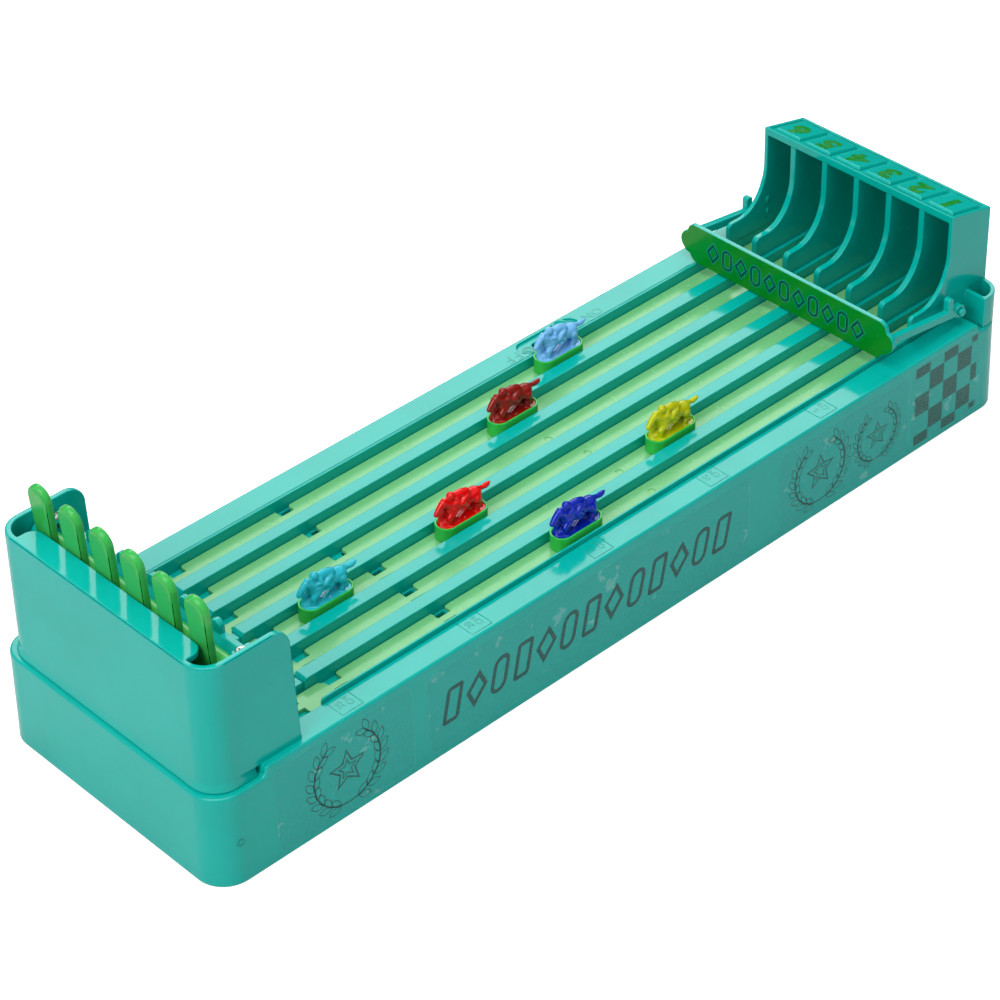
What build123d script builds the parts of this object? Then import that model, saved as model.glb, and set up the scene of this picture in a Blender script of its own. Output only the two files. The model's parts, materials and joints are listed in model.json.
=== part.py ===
from build123d import *
import os
from math import atan2, degrees, radians, sin, tan

# Tabletop six-lane horse race game, in millimetres.
# X runs from the lever end (finish) to the starting gate, Y across the lanes, Z up.
# Everything is drawn with X = 0 at the foot of the lever-end wall, and saved with
# the origin under the middle of the base.

# ---------------------------------------------------------------- driving sizes
# lanes
LANES = 6
LANE_PITCH = 14.0
SLOT_WIDTH = 9.2            # clear width of a lane between its dividers
SLOT_DEPTH = 5.0            # divider top down to the lane floor
LANE_START = 50.7           # where the full-height dividers begin
RIB_START = 27.0            # where the lower ribs begin, under the lever box
RIB_WIDTH = 3.2
RIB_DROP = 1.4              # lower ribs below the divider tops
LIP_WIDTH = 0.8

# base moulding
BASE_LENGTH = 340.0
BASE_WIDTH = 100.8
BASE_CORNER = 10.0
BASE_WALL = 2.2
DECK_TOP = 37.3             # divider tops above the table
DRAFT = 1.0                 # degrees, all mouldings drawn upwards
NEAR_RAIL_DROP = 1.7        # near rail below the divider tops
LEDGE_DROP = 4.9            # end ledges below the divider tops
FRONT_LEDGE = 18.5          # length of the ledge along the lever end
REAR_LEDGE = 12.5           # length of the ledge along the gate end
STEP_RUN = 2.6              # run of the S-shaped step from ledge to rail
OPENING_INSET = 5.4         # end walls to the track opening
SKIN = 2.0                  # thickness of rails and ledges
FLOOR_THICK = 1.8

# underside
COVER_THICK = 1.8
COVER_RECESS = 0.6
DOOR_LENGTH = 58.0
DOOR_WIDTH = 34.0
DOOR_CENTRE = 225.0
DOOR_GAP = 0.25
SCREW_HEAD_RADIUS = 2.2
SCREW_SHANK_RADIUS = 1.2
SCREW_HEAD_HEIGHT = 1.0
SCREW_LENGTH = 6.0
COVER_SCREW_INSET = 21.4
COVER_SCREW_SIDE = 7.2      # from the foot of the side walls

# clearances
RUN_GAP = 0.1               # sliding pieces to what they slide on
SIDE_GAP = 0.3              # sliding pieces to walls beside them
BORE_GAP = 0.05             # radial, pivots in their bores
SEAT_GAP = 0.1              # seam between base and what is screwed on it

# lever housing
HOUSING_INSET = 2.9         # its front face from the foot of the base
HOUSING_WIDTH = 94.4
HOUSING_CORNER = 8.5
HOUSING_WALL = 2.0
HOUSING_TOP = 76.6
HOUSING_DRAFT = 0.4
EAR_END = 35.5              # rear edge of the side ears at rail level
EAR_LEAN = 1.5              # how far that edge leans forward at the top
EAR_ROUND = 6.5
FLARE = 0.9                 # how far the foot of the housing flares out
FLARE_HEIGHT = 3.5
SHELF_EDGE = 11.6           # free edge of the top shelf the levers rest on
SHELF_THICK = 2.0
SHELF_HALF = 38.0
SHELF_ROUND = 4.0

# levers, their bracket and axle
PIVOT_X = 17.5
PIVOT_Z = 68.5
AXLE_RADIUS = 1.0
HUB_RADIUS = 2.6
HUB_LENGTH = 12.0
BLADE_WIDTH = 9.0
BLADE_THICK = 2.8
BLADE_LENGTH = 25.8         # above the pivot
BLADE_LEAN = 4.3            # degrees towards the front
BLADE_WAIST = 0.5
ARM_WIDTH = 4.0
ARM_THICK = 3.0
FOOT_X = 21.0
FOOT_DIP = 0.8              # foot below the underside of the strip
LEVER_SWING = 14.0          # degrees of travel
BRACKET_X = 23.0            # front face of the bracket wall
BRACKET_WALL = 2.0
BRACKET_TOP = 70.0
BRACKET_NOSE = 2.8          # overhang of its sloped top
CHEEK_THICK = 2.6
CHEEK_TOP = 72.4
BRACKET_SCREW_IN = 1.9      # from the outer face of a cheek
PAD_THICK = 1.0
BOSS_RADIUS = 4.0
TAB_WIDTH = 4.2
TAB_TOP = 74.0

# drive strips
STRIP_THICK = 1.3
STRIP_BREAKS = [104.3, 61.7, 45.5]      # gate-side start of each wide section
STRIP_CUTOUT = 5.0                      # length of the notches between them
NECK_WIDTH = 2.4
TAIL_WIDTH = 7.0
TAIL_END = 17.2
TAIL_LENGTH = 13.0
STRIP_CHAMFER = 1.6
STRIP_SLACK = 3.5                       # free play of the foot in its slot
STRIP_SHIFT = [0.0, 0.0, 0.0, -3.5, -1.7, -0.7]
DIMPLE_X = 187.7
DIMPLE_RADIUS = 1.2
DIMPLE_DEPTH = 0.35
FLOOR_HOLE_X = 100.4
FLOOR_HOLE = (3.6, 2.8)

# horses: name, lane, place of the tub's centre along the track
HORSES = [
    ("dark_blue", 1, 155.0),
    ("yellow", 2, 210.4),
    ("cyan", 3, 79.3),
    ("red", 3, 133.7),
    ("maroon", 5, 182.0),
    ("light_blue", 6, 216.0),
]
TUB_LENGTH = 19.4
TUB_WIDTH = 7.8
TUB_HEIGHT = 5.2
TUB_WALL = 0.7
TUB_POCKET = 1.7
PLATE_THICK = 0.9

# starting gate
GATE_TOE = 301.4            # front of the stall walls on the deck
GATE_FRONT = 319.7          # front of the roof
GATE_BACK = 339.2
GATE_WIDTH = 82.0
GATE_WALL = 1.6
GATE_TOP = 75.8             # roof at its front edge
ROOF_SLOPE = 13.0           # degrees, falling to the back
ROOF_THICK = 2.8
TOE_HEIGHT = 7.0
STALL_WALL = 2.2
PLATE_SIZE = (15.0, 11.4)   # along and across the track
PLATE_RAISE = 1.0
RIM_WIDTH = 1.3
RIM_DEPTH = 0.8
POCKET_FRONT = 329.0
POCKET_WIDTH = 8.3
POCKET_TOP = 43.6
POCKET_WALL = 1.6

# gate bar
BAR_X = 287.5               # rear face of the board
BAR_THICK = 1.8
BAR_TOP = 52.0
BAR_HALF = 47.1
BAR_PIVOT_X = 321.0
BAR_PIVOT_Z = 41.2
BAR_ARM_Y = 44.6            # middle of each arm
BAR_ARM_THICK = 2.4
BAR_ARM_HEIGHT = 2.9
BAR_EYE_RADIUS = 2.4
PIN_RADIUS = 1.1
PIN_HEAD_RADIUS = 2.0
PIN_HEAD_THICK = 0.9
LUG_HEIGHT = 7.2
SIGN_DEPTH = 0.4
SIGN_BORDER = 1.1

# sliding switch on the far rail
SWITCH_X = 226.0
SWITCH_Y = 44.4
SWITCH_TRAVEL = 11.0
KNOB_RADIUS = 2.6
KNOB_HEIGHT = 2.8
STEM_WIDTH = 2.2
KEEPER_SIZE = 5.0
CHANNEL_EDGE = 40.9         # lane-side edge of the shallow channel
CHANNEL_DEPTH = 0.9
CHANNEL_OVERRUN = 7.5       # channel past the knob's ON end

# ---------------------------------------------------------------- worked out
TRACK_HALF = LANES / 2 * LANE_PITCH - (LANE_PITCH - SLOT_WIDTH) / 2
DECK_HALF = TRACK_HALF + LIP_WIDTH
DIVIDER_WIDTH = LANE_PITCH - SLOT_WIDTH
FLOOR_TOP = DECK_TOP - SLOT_DEPTH
STRIP_BOTTOM = FLOOR_TOP + RUN_GAP
STRIP_TOP = STRIP_BOTTOM + STRIP_THICK
STRIP_WIDTH = SLOT_WIDTH - 2 * SIDE_GAP
LEDGE_TOP = DECK_TOP - LEDGE_DROP
NEAR_TOP = DECK_TOP - NEAR_RAIL_DROP
RIB_TOP = DECK_TOP - RIB_DROP
OPENING_START = OPENING_INSET
OPENING_END = BASE_LENGTH - OPENING_INSET
REAR_STEP = BASE_LENGTH - REAR_LEDGE
FOOT_Z = STRIP_BOTTOM - FOOT_DIP
LEVER_STROKE = (PIVOT_Z - STRIP_TOP) * radians(LEVER_SWING)
COVER_TOP = COVER_RECESS + COVER_THICK
BAR_BOTTOM = DECK_TOP + SIDE_GAP
GATE_INSIDE = GATE_BACK - GATE_WALL


def lane_y(lane):
    """Centre of a lane, lane 1 on the near side."""
    return (lane - (LANES + 1) / 2) * LANE_PITCH


def divider_ys():
    """Centres of the walls between lanes."""
    return [(k - LANES / 2) * LANE_PITCH for k in range(1, LANES)]


def block(x0, x1, y0, y1, z0, z1):
    """A block given by its faces."""
    size = Box(x1 - x0, y1 - y0, z1 - z0)
    return Pos((x0 + x1) / 2, (y0 + y1) / 2, (z0 + z1) / 2) * size


def across(profile, y0, y1):
    """A profile drawn in X and Z, carried across from y0 to y1."""
    face = Plane.XZ.offset(-y1) * profile
    return extrude(face, y1 - y0)


def rod(x, z, radius, y0, y1):
    """A round rod lying across the track."""
    return across(Pos(x, z) * Circle(radius), y0, y1)


def screw(x, y, head_top):
    """A pan head screw standing upright, its head on a seat."""
    head = block_round(x, y, head_top - SCREW_HEAD_HEIGHT, head_top, SCREW_HEAD_RADIUS)
    head = chamfer(head.edges().group_by(Axis.Z)[-1], SCREW_HEAD_HEIGHT * 0.4)
    shank_top = head_top - SCREW_HEAD_HEIGHT
    return head + block_round(x, y, shank_top - SCREW_LENGTH, shank_top, SCREW_SHANK_RADIUS)


def block_round(x, y, z0, z1, radius):
    """An upright cylinder."""
    return Pos(x, y, (z0 + z1) / 2) * Cylinder(radius, z1 - z0)


def save(node, shape):
    """Write one piece with the origin under the middle of the base."""
    export_step(Pos(-BASE_LENGTH / 2, 0, 0) * shape, f"parts/{node}.step")


# ---------------------------------------------------------------- base
def rounded_plan(x0, x1, half, corner):
    return Pos((x0 + x1) / 2, 0) * RectangleRounded(x1 - x0, 2 * half, corner)


def step_profile(start, direction, low, high):
    """S-shaped step in the top edge: everything above it is cut away."""
    middle = (low + high) / 2
    run = direction * STEP_RUN
    far = start + direction * -BASE_LENGTH
    top = DECK_TOP + LEDGE_DROP
    bend = Spline((start, low), (start + run / 2, middle), (start + run, high),
                  tangents=[(direction, 0), (direction, 0)])
    rest = Polyline((start + run, high), (start + run, top), (far, top), (far, low), (start, low))
    return make_face(bend + rest)


def switch_slot():
    """Narrow slot the switch stem runs in."""
    length = SWITCH_TRAVEL + STEM_WIDTH + 2 * SIDE_GAP
    middle = SWITCH_X - SWITCH_TRAVEL / 2
    plan = Pos(middle, SWITCH_Y) * SlotOverall(length, STEM_WIDTH + 2 * SIDE_GAP)
    return extrude(Pos(0, 0, FLOOR_TOP) * plan, DECK_TOP)


def switch_channel():
    """Shallow round-ended channel beside the knob."""
    start = SWITCH_X - SWITCH_TRAVEL - CHANNEL_OVERRUN
    end = SWITCH_X + CHANNEL_OVERRUN
    width = 2 * (SWITCH_Y - CHANNEL_EDGE)
    plan = Pos((start + end) / 2, SWITCH_Y) * SlotOverall(end - start, width)
    return extrude(Pos(0, 0, DECK_TOP - CHANNEL_DEPTH) * plan, LEDGE_DROP)


def rail_hollow(y0, y1, top):
    """Space under a rail, open downwards."""
    return block(FRONT_LEDGE + STEP_RUN + SKIN, REAR_STEP - STEP_RUN - SKIN, y0, y1, 0, top - SKIN)


def screw_posts():
    """Posts inside the base that take the cover screws."""
    return [block_round(x, y, COVER_TOP, FLOOR_TOP - FLOOR_THICK, SCREW_HEAD_RADIUS + 1)
            - block_round(x, y, COVER_TOP, COVER_TOP + SCREW_LENGTH, SCREW_SHANK_RADIUS)
            for x, y in cover_screw_places()]


def cover_screw_places():
    half = BASE_WIDTH / 2 - COVER_SCREW_SIDE
    return [(x, y) for x in (COVER_SCREW_INSET, BASE_LENGTH / 2, BASE_LENGTH - COVER_SCREW_INSET)
            for y in (-half, half)]


def base_shell():
    half = BASE_WIDTH / 2
    plan = rounded_plan(0, BASE_LENGTH, half, BASE_CORNER)
    shell = extrude(plan, DECK_TOP, taper=DRAFT)
    # near rail, then the ledges at both ends
    shell -= block(0, BASE_LENGTH, -half, -DECK_HALF, NEAR_TOP, DECK_TOP)
    for direction, start in ((1, FRONT_LEDGE), (-1, REAR_STEP)):
        for y0, y1, top in ((-half, 0, NEAR_TOP), (0, half, DECK_TOP)):
            cut = across(step_profile(start, direction, LEDGE_TOP, top), y0, y1)
            shell -= cut
    shell = chamfer(top_outer_edges(shell), 0.5)
    # hollow from below, leaving shoulders under the track
    inner = rounded_plan(BASE_WALL, BASE_LENGTH - BASE_WALL, half - BASE_WALL,
                         BASE_CORNER - BASE_WALL)
    shoulder = FLOOR_TOP - FLOOR_THICK
    shell -= extrude(inner, shoulder - SKIN, taper=DRAFT)
    rail_outer = half - BASE_WALL - SKIN / 2
    shell -= rail_hollow(-rail_outer, -DECK_HALF - SKIN, NEAR_TOP)
    shell -= rail_hollow(DECK_HALF + SKIN, rail_outer, DECK_TOP)
    # opening the track drops into
    shell -= block(OPENING_START, OPENING_END, -DECK_HALF, DECK_HALF, shoulder, DECK_TOP)
    shell -= block(OPENING_START + SKIN, OPENING_END - SKIN, -DECK_HALF + SKIN,
                   DECK_HALF - SKIN, 0, shoulder)
    shell -= switch_channel()
    shell -= switch_slot()
    x, y = pocket_screw_place()
    for side in (-1, 1):
        shell -= block_round(x, side * y, FLOOR_TOP - SCREW_LENGTH, DECK_TOP, SCREW_SHANK_RADIUS)
    return shell + screw_posts()


def top_outer_edges(shell):
    """Outer top edges of rails and ledges."""
    half = BASE_WIDTH / 2 - DECK_TOP * sin(radians(DRAFT)) - 0.2
    return [e for e in shell.edges()
            if abs(e.center().Y) > half - 0.5 and e.center().Z > LEDGE_TOP - 0.1
            and e.length > BASE_LENGTH / 2]


def bottom_cover():
    half = BASE_WIDTH / 2
    plan = rounded_plan(BASE_WALL, BASE_LENGTH - BASE_WALL, half - BASE_WALL,
                        BASE_CORNER - BASE_WALL)
    cover = extrude(Pos(0, 0, COVER_RECESS) * offset(plan, -SEAT_GAP), COVER_THICK)
    half_door = DOOR_LENGTH / 2
    cover -= block(DOOR_CENTRE - half_door, DOOR_CENTRE + half_door,
                   -DOOR_WIDTH / 2, DOOR_WIDTH / 2, 0, COVER_TOP)
    # ledge the battery door lies on
    frame = block(DOOR_CENTRE - half_door - 2, DOOR_CENTRE + half_door + 2,
                  -DOOR_WIDTH / 2 - 2, DOOR_WIDTH / 2 + 2, COVER_TOP, COVER_TOP + 1.5)
    frame -= block(DOOR_CENTRE - half_door + 2, DOOR_CENTRE + half_door - 2,
                   -DOOR_WIDTH / 2 + 2, DOOR_WIDTH / 2 - 2, COVER_TOP, COVER_TOP + 1.5)
    cover += frame
    # bores and counterbores for the screws
    for x, y in cover_screw_places():
        cover -= block_round(x, y, 0, COVER_TOP, SCREW_SHANK_RADIUS + SEAT_GAP)
        cover -= block_round(x, y, 0, COVER_RECESS + SCREW_HEAD_HEIGHT,
                             SCREW_HEAD_RADIUS + SIDE_GAP)
    return cover


def battery_door():
    half = DOOR_LENGTH / 2 - DOOR_GAP
    door = block(DOOR_CENTRE - half, DOOR_CENTRE + half, -DOOR_WIDTH / 2 + DOOR_GAP,
                 DOOR_WIDTH / 2 - DOOR_GAP, COVER_RECESS, COVER_TOP)
    # thumb grip: a row of shallow grooves
    for k in range(4):
        x = DOOR_CENTRE + half - 4 - 2 * k
        door -= block(x - 0.5, x + 0.5, -6, 6, COVER_RECESS, COVER_RECESS + 0.5)
    return door


def cover_screws():
    """Cover screws, driven upwards with their heads in the counterbores."""
    seat = COVER_RECESS + SCREW_HEAD_HEIGHT
    return [block_round(x, y, COVER_RECESS, seat, SCREW_HEAD_RADIUS)
            + block_round(x, y, seat, seat + SCREW_LENGTH, SCREW_SHANK_RADIUS - BORE_GAP)
            for x, y in cover_screw_places()]


# ---------------------------------------------------------------- track
def foot_slot(lane):
    """Length of lane floor that the lever foot sweeps."""
    start = FOOT_X - ARM_THICK / 2 - LEVER_STROKE - 2
    end = FOOT_X + ARM_THICK / 2 + 2
    return block(start, end, lane_y(lane) - ARM_WIDTH / 2 - 0.5,
                 lane_y(lane) + ARM_WIDTH / 2 + 0.5, 0, DECK_TOP)


def track_floor():
    floor = block(OPENING_START, OPENING_END, -DECK_HALF, DECK_HALF,
                  FLOOR_TOP - FLOOR_THICK, FLOOR_TOP)
    length, width = FLOOR_HOLE
    for lane in range(1, LANES + 1):
        floor -= foot_slot(lane)
        for side in (-1, 1):
            y = lane_y(lane) + side * (NECK_WIDTH / 2 + width / 2)
            floor -= block(FLOOR_HOLE_X, FLOOR_HOLE_X + length, y - width / 2, y + width / 2,
                           0, FLOOR_TOP)
    return floor


def divider(y):
    """Full-height divider with a lower, narrower rib towards the levers."""
    half = DIVIDER_WIDTH / 2
    tall = block(LANE_START, OPENING_END, y - half, y + half, FLOOR_TOP, DECK_TOP)
    tall = chamfer(tall.edges().group_by(Axis.Z)[-1].group_by(Axis.X)[0], 1.0)
    low = block(RIB_START, LANE_START, y - RIB_WIDTH / 2, y + RIB_WIDTH / 2, FLOOR_TOP, RIB_TOP)
    return tall + low


def lane_dividers():
    return [divider(y) for y in divider_ys()]


def track_lips():
    """Thin lips along both outer lanes."""
    near = block(LANE_START - 2, OPENING_END, -DECK_HALF, -TRACK_HALF, FLOOR_TOP, DECK_TOP)
    near = fillet(near.edges().filter_by(Axis.Y).group_by(Axis.Z)[-1][0], 1.5)
    far = block(LANE_START - 2, OPENING_END, TRACK_HALF, DECK_HALF, FLOOR_TOP, DECK_TOP)
    return [near, far]


# ---------------------------------------------------------------- lever box
def housing_body(grow, bottom, top):
    """Upright rounded block that the housing is cut from."""
    x0 = HOUSING_INSET - grow
    x1 = EAR_END + HOUSING_CORNER * 2
    corner = HOUSING_CORNER + grow
    plan = Pos(0, 0, bottom) * rounded_plan(x0, x1, HOUSING_WIDTH / 2 + grow, corner)
    return extrude(plan, top - bottom, taper=HOUSING_DRAFT)


def ear_outline():
    """Side view of the housing, with the rounded rear top corner of each ear."""
    outline = make_face(Polyline(
        (HOUSING_INSET - FLARE, 0), (EAR_END, 0), (EAR_END, NEAR_TOP),
        (EAR_END - EAR_LEAN, HOUSING_TOP), (HOUSING_INSET - FLARE, HOUSING_TOP),
        (HOUSING_INSET - FLARE, 0)))
    corner = outline.vertices().sort_by(Axis.Y)[-2:].sort_by(Axis.X)[-1]
    return fillet(corner, EAR_ROUND)


def lever_housing():
    bottom = LEDGE_TOP + SEAT_GAP
    outer = housing_body(0, bottom, HOUSING_TOP)
    flare_plan = Pos(0, 0, bottom) * rounded_plan(
        HOUSING_INSET - FLARE, EAR_END + 3 * HOUSING_CORNER, HOUSING_WIDTH / 2 + FLARE,
        HOUSING_CORNER + FLARE)
    flare_angle = degrees(atan2(FLARE + SEAT_GAP, FLARE_HEIGHT))
    outer += extrude(flare_plan, FLARE_HEIGHT, taper=flare_angle)
    housing = outer - housing_body(-HOUSING_WALL, bottom - SKIN, HOUSING_TOP + SKIN)
    housing &= across(ear_outline(), -BASE_WIDTH / 2, BASE_WIDTH / 2)
    # the foot follows the step in the base
    half = BASE_WIDTH / 2
    for y0, y1, top in ((-half, 0, NEAR_TOP), (0, half, DECK_TOP)):
        rail = block(FRONT_LEDGE - SEAT_GAP, EAR_END, y0, y1, 0, top + SEAT_GAP)
        housing -= rail
    # top shelf
    shelf_front = HOUSING_INSET + HOUSING_WALL / 2
    plan = Pos((shelf_front + SHELF_EDGE) / 2, 0) * Rectangle(SHELF_EDGE - shelf_front,
                                                              2 * SHELF_HALF)
    shelf = extrude(Pos(0, 0, HOUSING_TOP - SHELF_THICK) * plan, SHELF_THICK)
    shelf = fillet(shelf.edges().filter_by(Axis.Z).group_by(Axis.X)[-1], SHELF_ROUND)
    housing += shelf
    rim = [e for e in housing.edges()
           if e.center().Z > HOUSING_TOP - 0.01 and e.center().X < HOUSING_INSET + 0.4]
    return chamfer(rim, 0.4)


def bracket_profile():
    """Side view of the bracket: a wall with a nose sloping down to the levers."""
    nose = BRACKET_X - BRACKET_NOSE
    back = BRACKET_X + BRACKET_WALL
    return make_face(Polyline(
        (BRACKET_X, RIB_TOP), (back, RIB_TOP), (back, BRACKET_TOP), (BRACKET_X, BRACKET_TOP),
        (nose, BRACKET_TOP - BRACKET_NOSE), (BRACKET_X, BRACKET_TOP - 2 * BRACKET_NOSE),
        (BRACKET_X, RIB_TOP)))


def cheek_half():
    return HOUSING_WIDTH / 2 - HOUSING_WALL - 0.7


def cheek(side):
    """End plate of the bracket with the half-round boss that holds the axle."""
    outer = cheek_half()
    y0, y1 = sorted((side * outer, side * (outer - CHEEK_THICK)))
    boss = Pos(PIVOT_X, PIVOT_Z) * Circle(BOSS_RADIUS)
    web_bottom = PIVOT_Z - BOSS_RADIUS
    back = BRACKET_X + BRACKET_WALL
    web = make_face(Polyline((PIVOT_X, web_bottom), (back, web_bottom - 6), (back, CHEEK_TOP),
                             (PIVOT_X, CHEEK_TOP), (PIVOT_X, web_bottom)))
    plate = across(boss + web, y0, y1)
    return plate - rod(PIVOT_X, PIVOT_Z, AXLE_RADIUS + BORE_GAP, y0, y1)


def tab(y):
    """Round-topped tab that keeps two levers apart."""
    half = TAB_WIDTH / 2
    face = Pos(0, TAB_TOP - half) * Circle(half)
    face += Pos(0, (TAB_TOP - half + BRACKET_TOP) / 2 - 1) * Rectangle(
        TAB_WIDTH, TAB_TOP - half - BRACKET_TOP + 2)
    upright = Plane.YZ.offset(BRACKET_X) * Pos(y, 0) * face
    return extrude(upright, BRACKET_WALL)


def bracket_screw_places():
    y = cheek_half() - BRACKET_SCREW_IN
    x = BRACKET_X - SCREW_HEAD_RADIUS
    return [(x, -y), (x, y)]


def lever_bracket():
    half = cheek_half()
    bracket = across(bracket_profile(), -half, half)
    for side in (-1, 1):
        bracket += cheek(side)
        # pad under the screw head
        y0, y1 = sorted((side * half, side * (half - 2 * SCREW_HEAD_RADIUS)))
        bracket += block(BRACKET_X - 2 * SCREW_HEAD_RADIUS, BRACKET_X + BRACKET_WALL, y0, y1,
                         CHEEK_TOP - PAD_THICK, CHEEK_TOP)
        # the outer ends stand clear of the far rail
        e0, e1 = sorted((side * half, side * (DECK_HALF - SEAT_GAP)))
        bracket -= block(BRACKET_X - BRACKET_NOSE, BRACKET_X + BRACKET_WALL, e0, e1,
                         0, DECK_TOP + SEAT_GAP)
    for y in divider_ys():
        bracket += tab(y)
    for x, y in bracket_screw_places():
        bracket -= block_round(x, y, CHEEK_TOP - SCREW_LENGTH, CHEEK_TOP, SCREW_SHANK_RADIUS)
    return bracket


def bracket_screws():
    return [screw(x, y, CHEEK_TOP + SCREW_HEAD_HEIGHT) for x, y in bracket_screw_places()]


def lever_axle():
    half = cheek_half()
    return rod(PIVOT_X, PIVOT_Z, AXLE_RADIUS, -half, half)


def blade():
    """Finger blade in its own plane: rounded top, slight waist, leaning forward."""
    half = BLADE_WIDTH / 2
    waist = half - BLADE_WAIST
    bend = BLADE_LENGTH * 0.55
    outline = make_face(
        Line((-waist, -HUB_RADIUS), (waist, -HUB_RADIUS))
        + Spline((waist, -HUB_RADIUS), (waist, bend * 0.5), (half, BLADE_LENGTH - half),
                 tangents=[(0, 1), (0, 1)])
        + RadiusArc((half, BLADE_LENGTH - half), (-half, BLADE_LENGTH - half), -half)
        + Spline((-half, BLADE_LENGTH - half), (-waist, bend * 0.5), (-waist, -HUB_RADIUS),
                 tangents=[(0, -1), (0, -1)]))
    plate = extrude(Plane.YZ * outline, BLADE_THICK)
    plate = chamfer(plate.faces().sort_by(Axis.X)[0].outer_wire().edges().sort_by(Axis.Z)[-1], 0.7)
    # front face leans so that it just clears the shelf edge
    drop = (HOUSING_TOP - PIVOT_Z) * sin(radians(BLADE_LEAN))
    front = SHELF_EDGE + SIDE_GAP + drop - PIVOT_X
    return Rot(0, -BLADE_LEAN, 0) * Pos(front, 0, 0) * plate


def lever(lane):
    """Finger blade, hub on the axle, and the arm that reaches down into the strip."""
    hub = Rot(90, 0, 0) * Cylinder(HUB_RADIUS, HUB_LENGTH)
    reach_x = FOOT_X - PIVOT_X
    reach_z = FOOT_Z - PIVOT_Z + ARM_THICK / 2
    length = (reach_x ** 2 + reach_z ** 2) ** 0.5
    tilt = degrees(atan2(reach_x, -reach_z))
    arm = Pos(0, 0, -length / 2) * Box(ARM_THICK, ARM_WIDTH, length)
    foot = Pos(0, 0, -length) * Rot(90, 0, 0) * Cylinder(ARM_THICK / 2, ARM_WIDTH)
    whole = blade() + hub + Rot(0, -tilt, 0) * (arm + foot)
    whole -= Rot(90, 0, 0) * Cylinder(AXLE_RADIUS + BORE_GAP, HUB_LENGTH)
    return Pos(PIVOT_X, lane_y(lane), PIVOT_Z) * whole


# ---------------------------------------------------------------- drive strips
def strip_section(x0, x1, rounded, chamfered):
    """One wide section of a strip."""
    part = block(x0, x1, -STRIP_WIDTH / 2, STRIP_WIDTH / 2, STRIP_BOTTOM, STRIP_TOP)
    uprights = part.edges().filter_by(Axis.Z)
    part = fillet(uprights.group_by(Axis.X)[0], 1.0) if rounded else part
    if chamfered:
        part = chamfer(part.edges().filter_by(Axis.Z).group_by(Axis.X)[-1], STRIP_CHAMFER)
    return part


def drive_strip(lane):
    """Flat strip running the whole lane, notched near the levers, with the foot's slot."""
    end = OPENING_END - SIDE_GAP
    main, second, third = STRIP_BREAKS
    strip = strip_section(main, end, True, False)
    strip += strip_section(second, main - STRIP_CUTOUT, True, False)
    strip += strip_section(third, second - STRIP_CUTOUT, True, True)
    strip += block(TAIL_END, main + 2, -NECK_WIDTH / 2, NECK_WIDTH / 2, STRIP_BOTTOM, STRIP_TOP)
    tail = block(TAIL_END, TAIL_END + TAIL_LENGTH, -TAIL_WIDTH / 2, TAIL_WIDTH / 2,
                 STRIP_BOTTOM, STRIP_TOP)
    strip += tail
    slot_start = FOOT_X - ARM_THICK / 2 - SIDE_GAP
    strip -= block(slot_start, slot_start + ARM_THICK + 2 * SIDE_GAP + STRIP_SLACK,
                   -ARM_WIDTH / 2 - SIDE_GAP, ARM_WIDTH / 2 + SIDE_GAP, STRIP_BOTTOM, STRIP_TOP)
    strip -= block_round(DIMPLE_X, 0, STRIP_TOP - DIMPLE_DEPTH, STRIP_TOP, DIMPLE_RADIUS)
    return Pos(STRIP_SHIFT[lane - 1], lane_y(lane), 0) * strip


# ---------------------------------------------------------------- horses
TUB_BOTTOM = STRIP_TOP + RUN_GAP
TUB_TOP = TUB_BOTTOM + TUB_HEIGHT
PLATE_BOTTOM = TUB_TOP - TUB_POCKET
PLATE_TOP = PLATE_BOTTOM + PLATE_THICK


def horse_tub(lane, x):
    """Green stadium-shaped carrier that slides in the lane."""
    tub = extrude(Pos(0, 0, TUB_BOTTOM) * SlotOverall(TUB_LENGTH, TUB_WIDTH), TUB_HEIGHT)
    inside = SlotOverall(TUB_LENGTH - 2 * TUB_WALL, TUB_WIDTH - 2 * TUB_WALL)
    tub -= extrude(Pos(0, 0, PLATE_BOTTOM) * inside, TUB_POCKET)
    return Pos(x, lane_y(lane), 0) * tub


def slice_of(points, thick, y):
    """Flat slice of the figure, drawn from the side and centred on y."""
    return across(make_face(Polyline(*points, points[0])), y - thick / 2, y + thick / 2)


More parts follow.
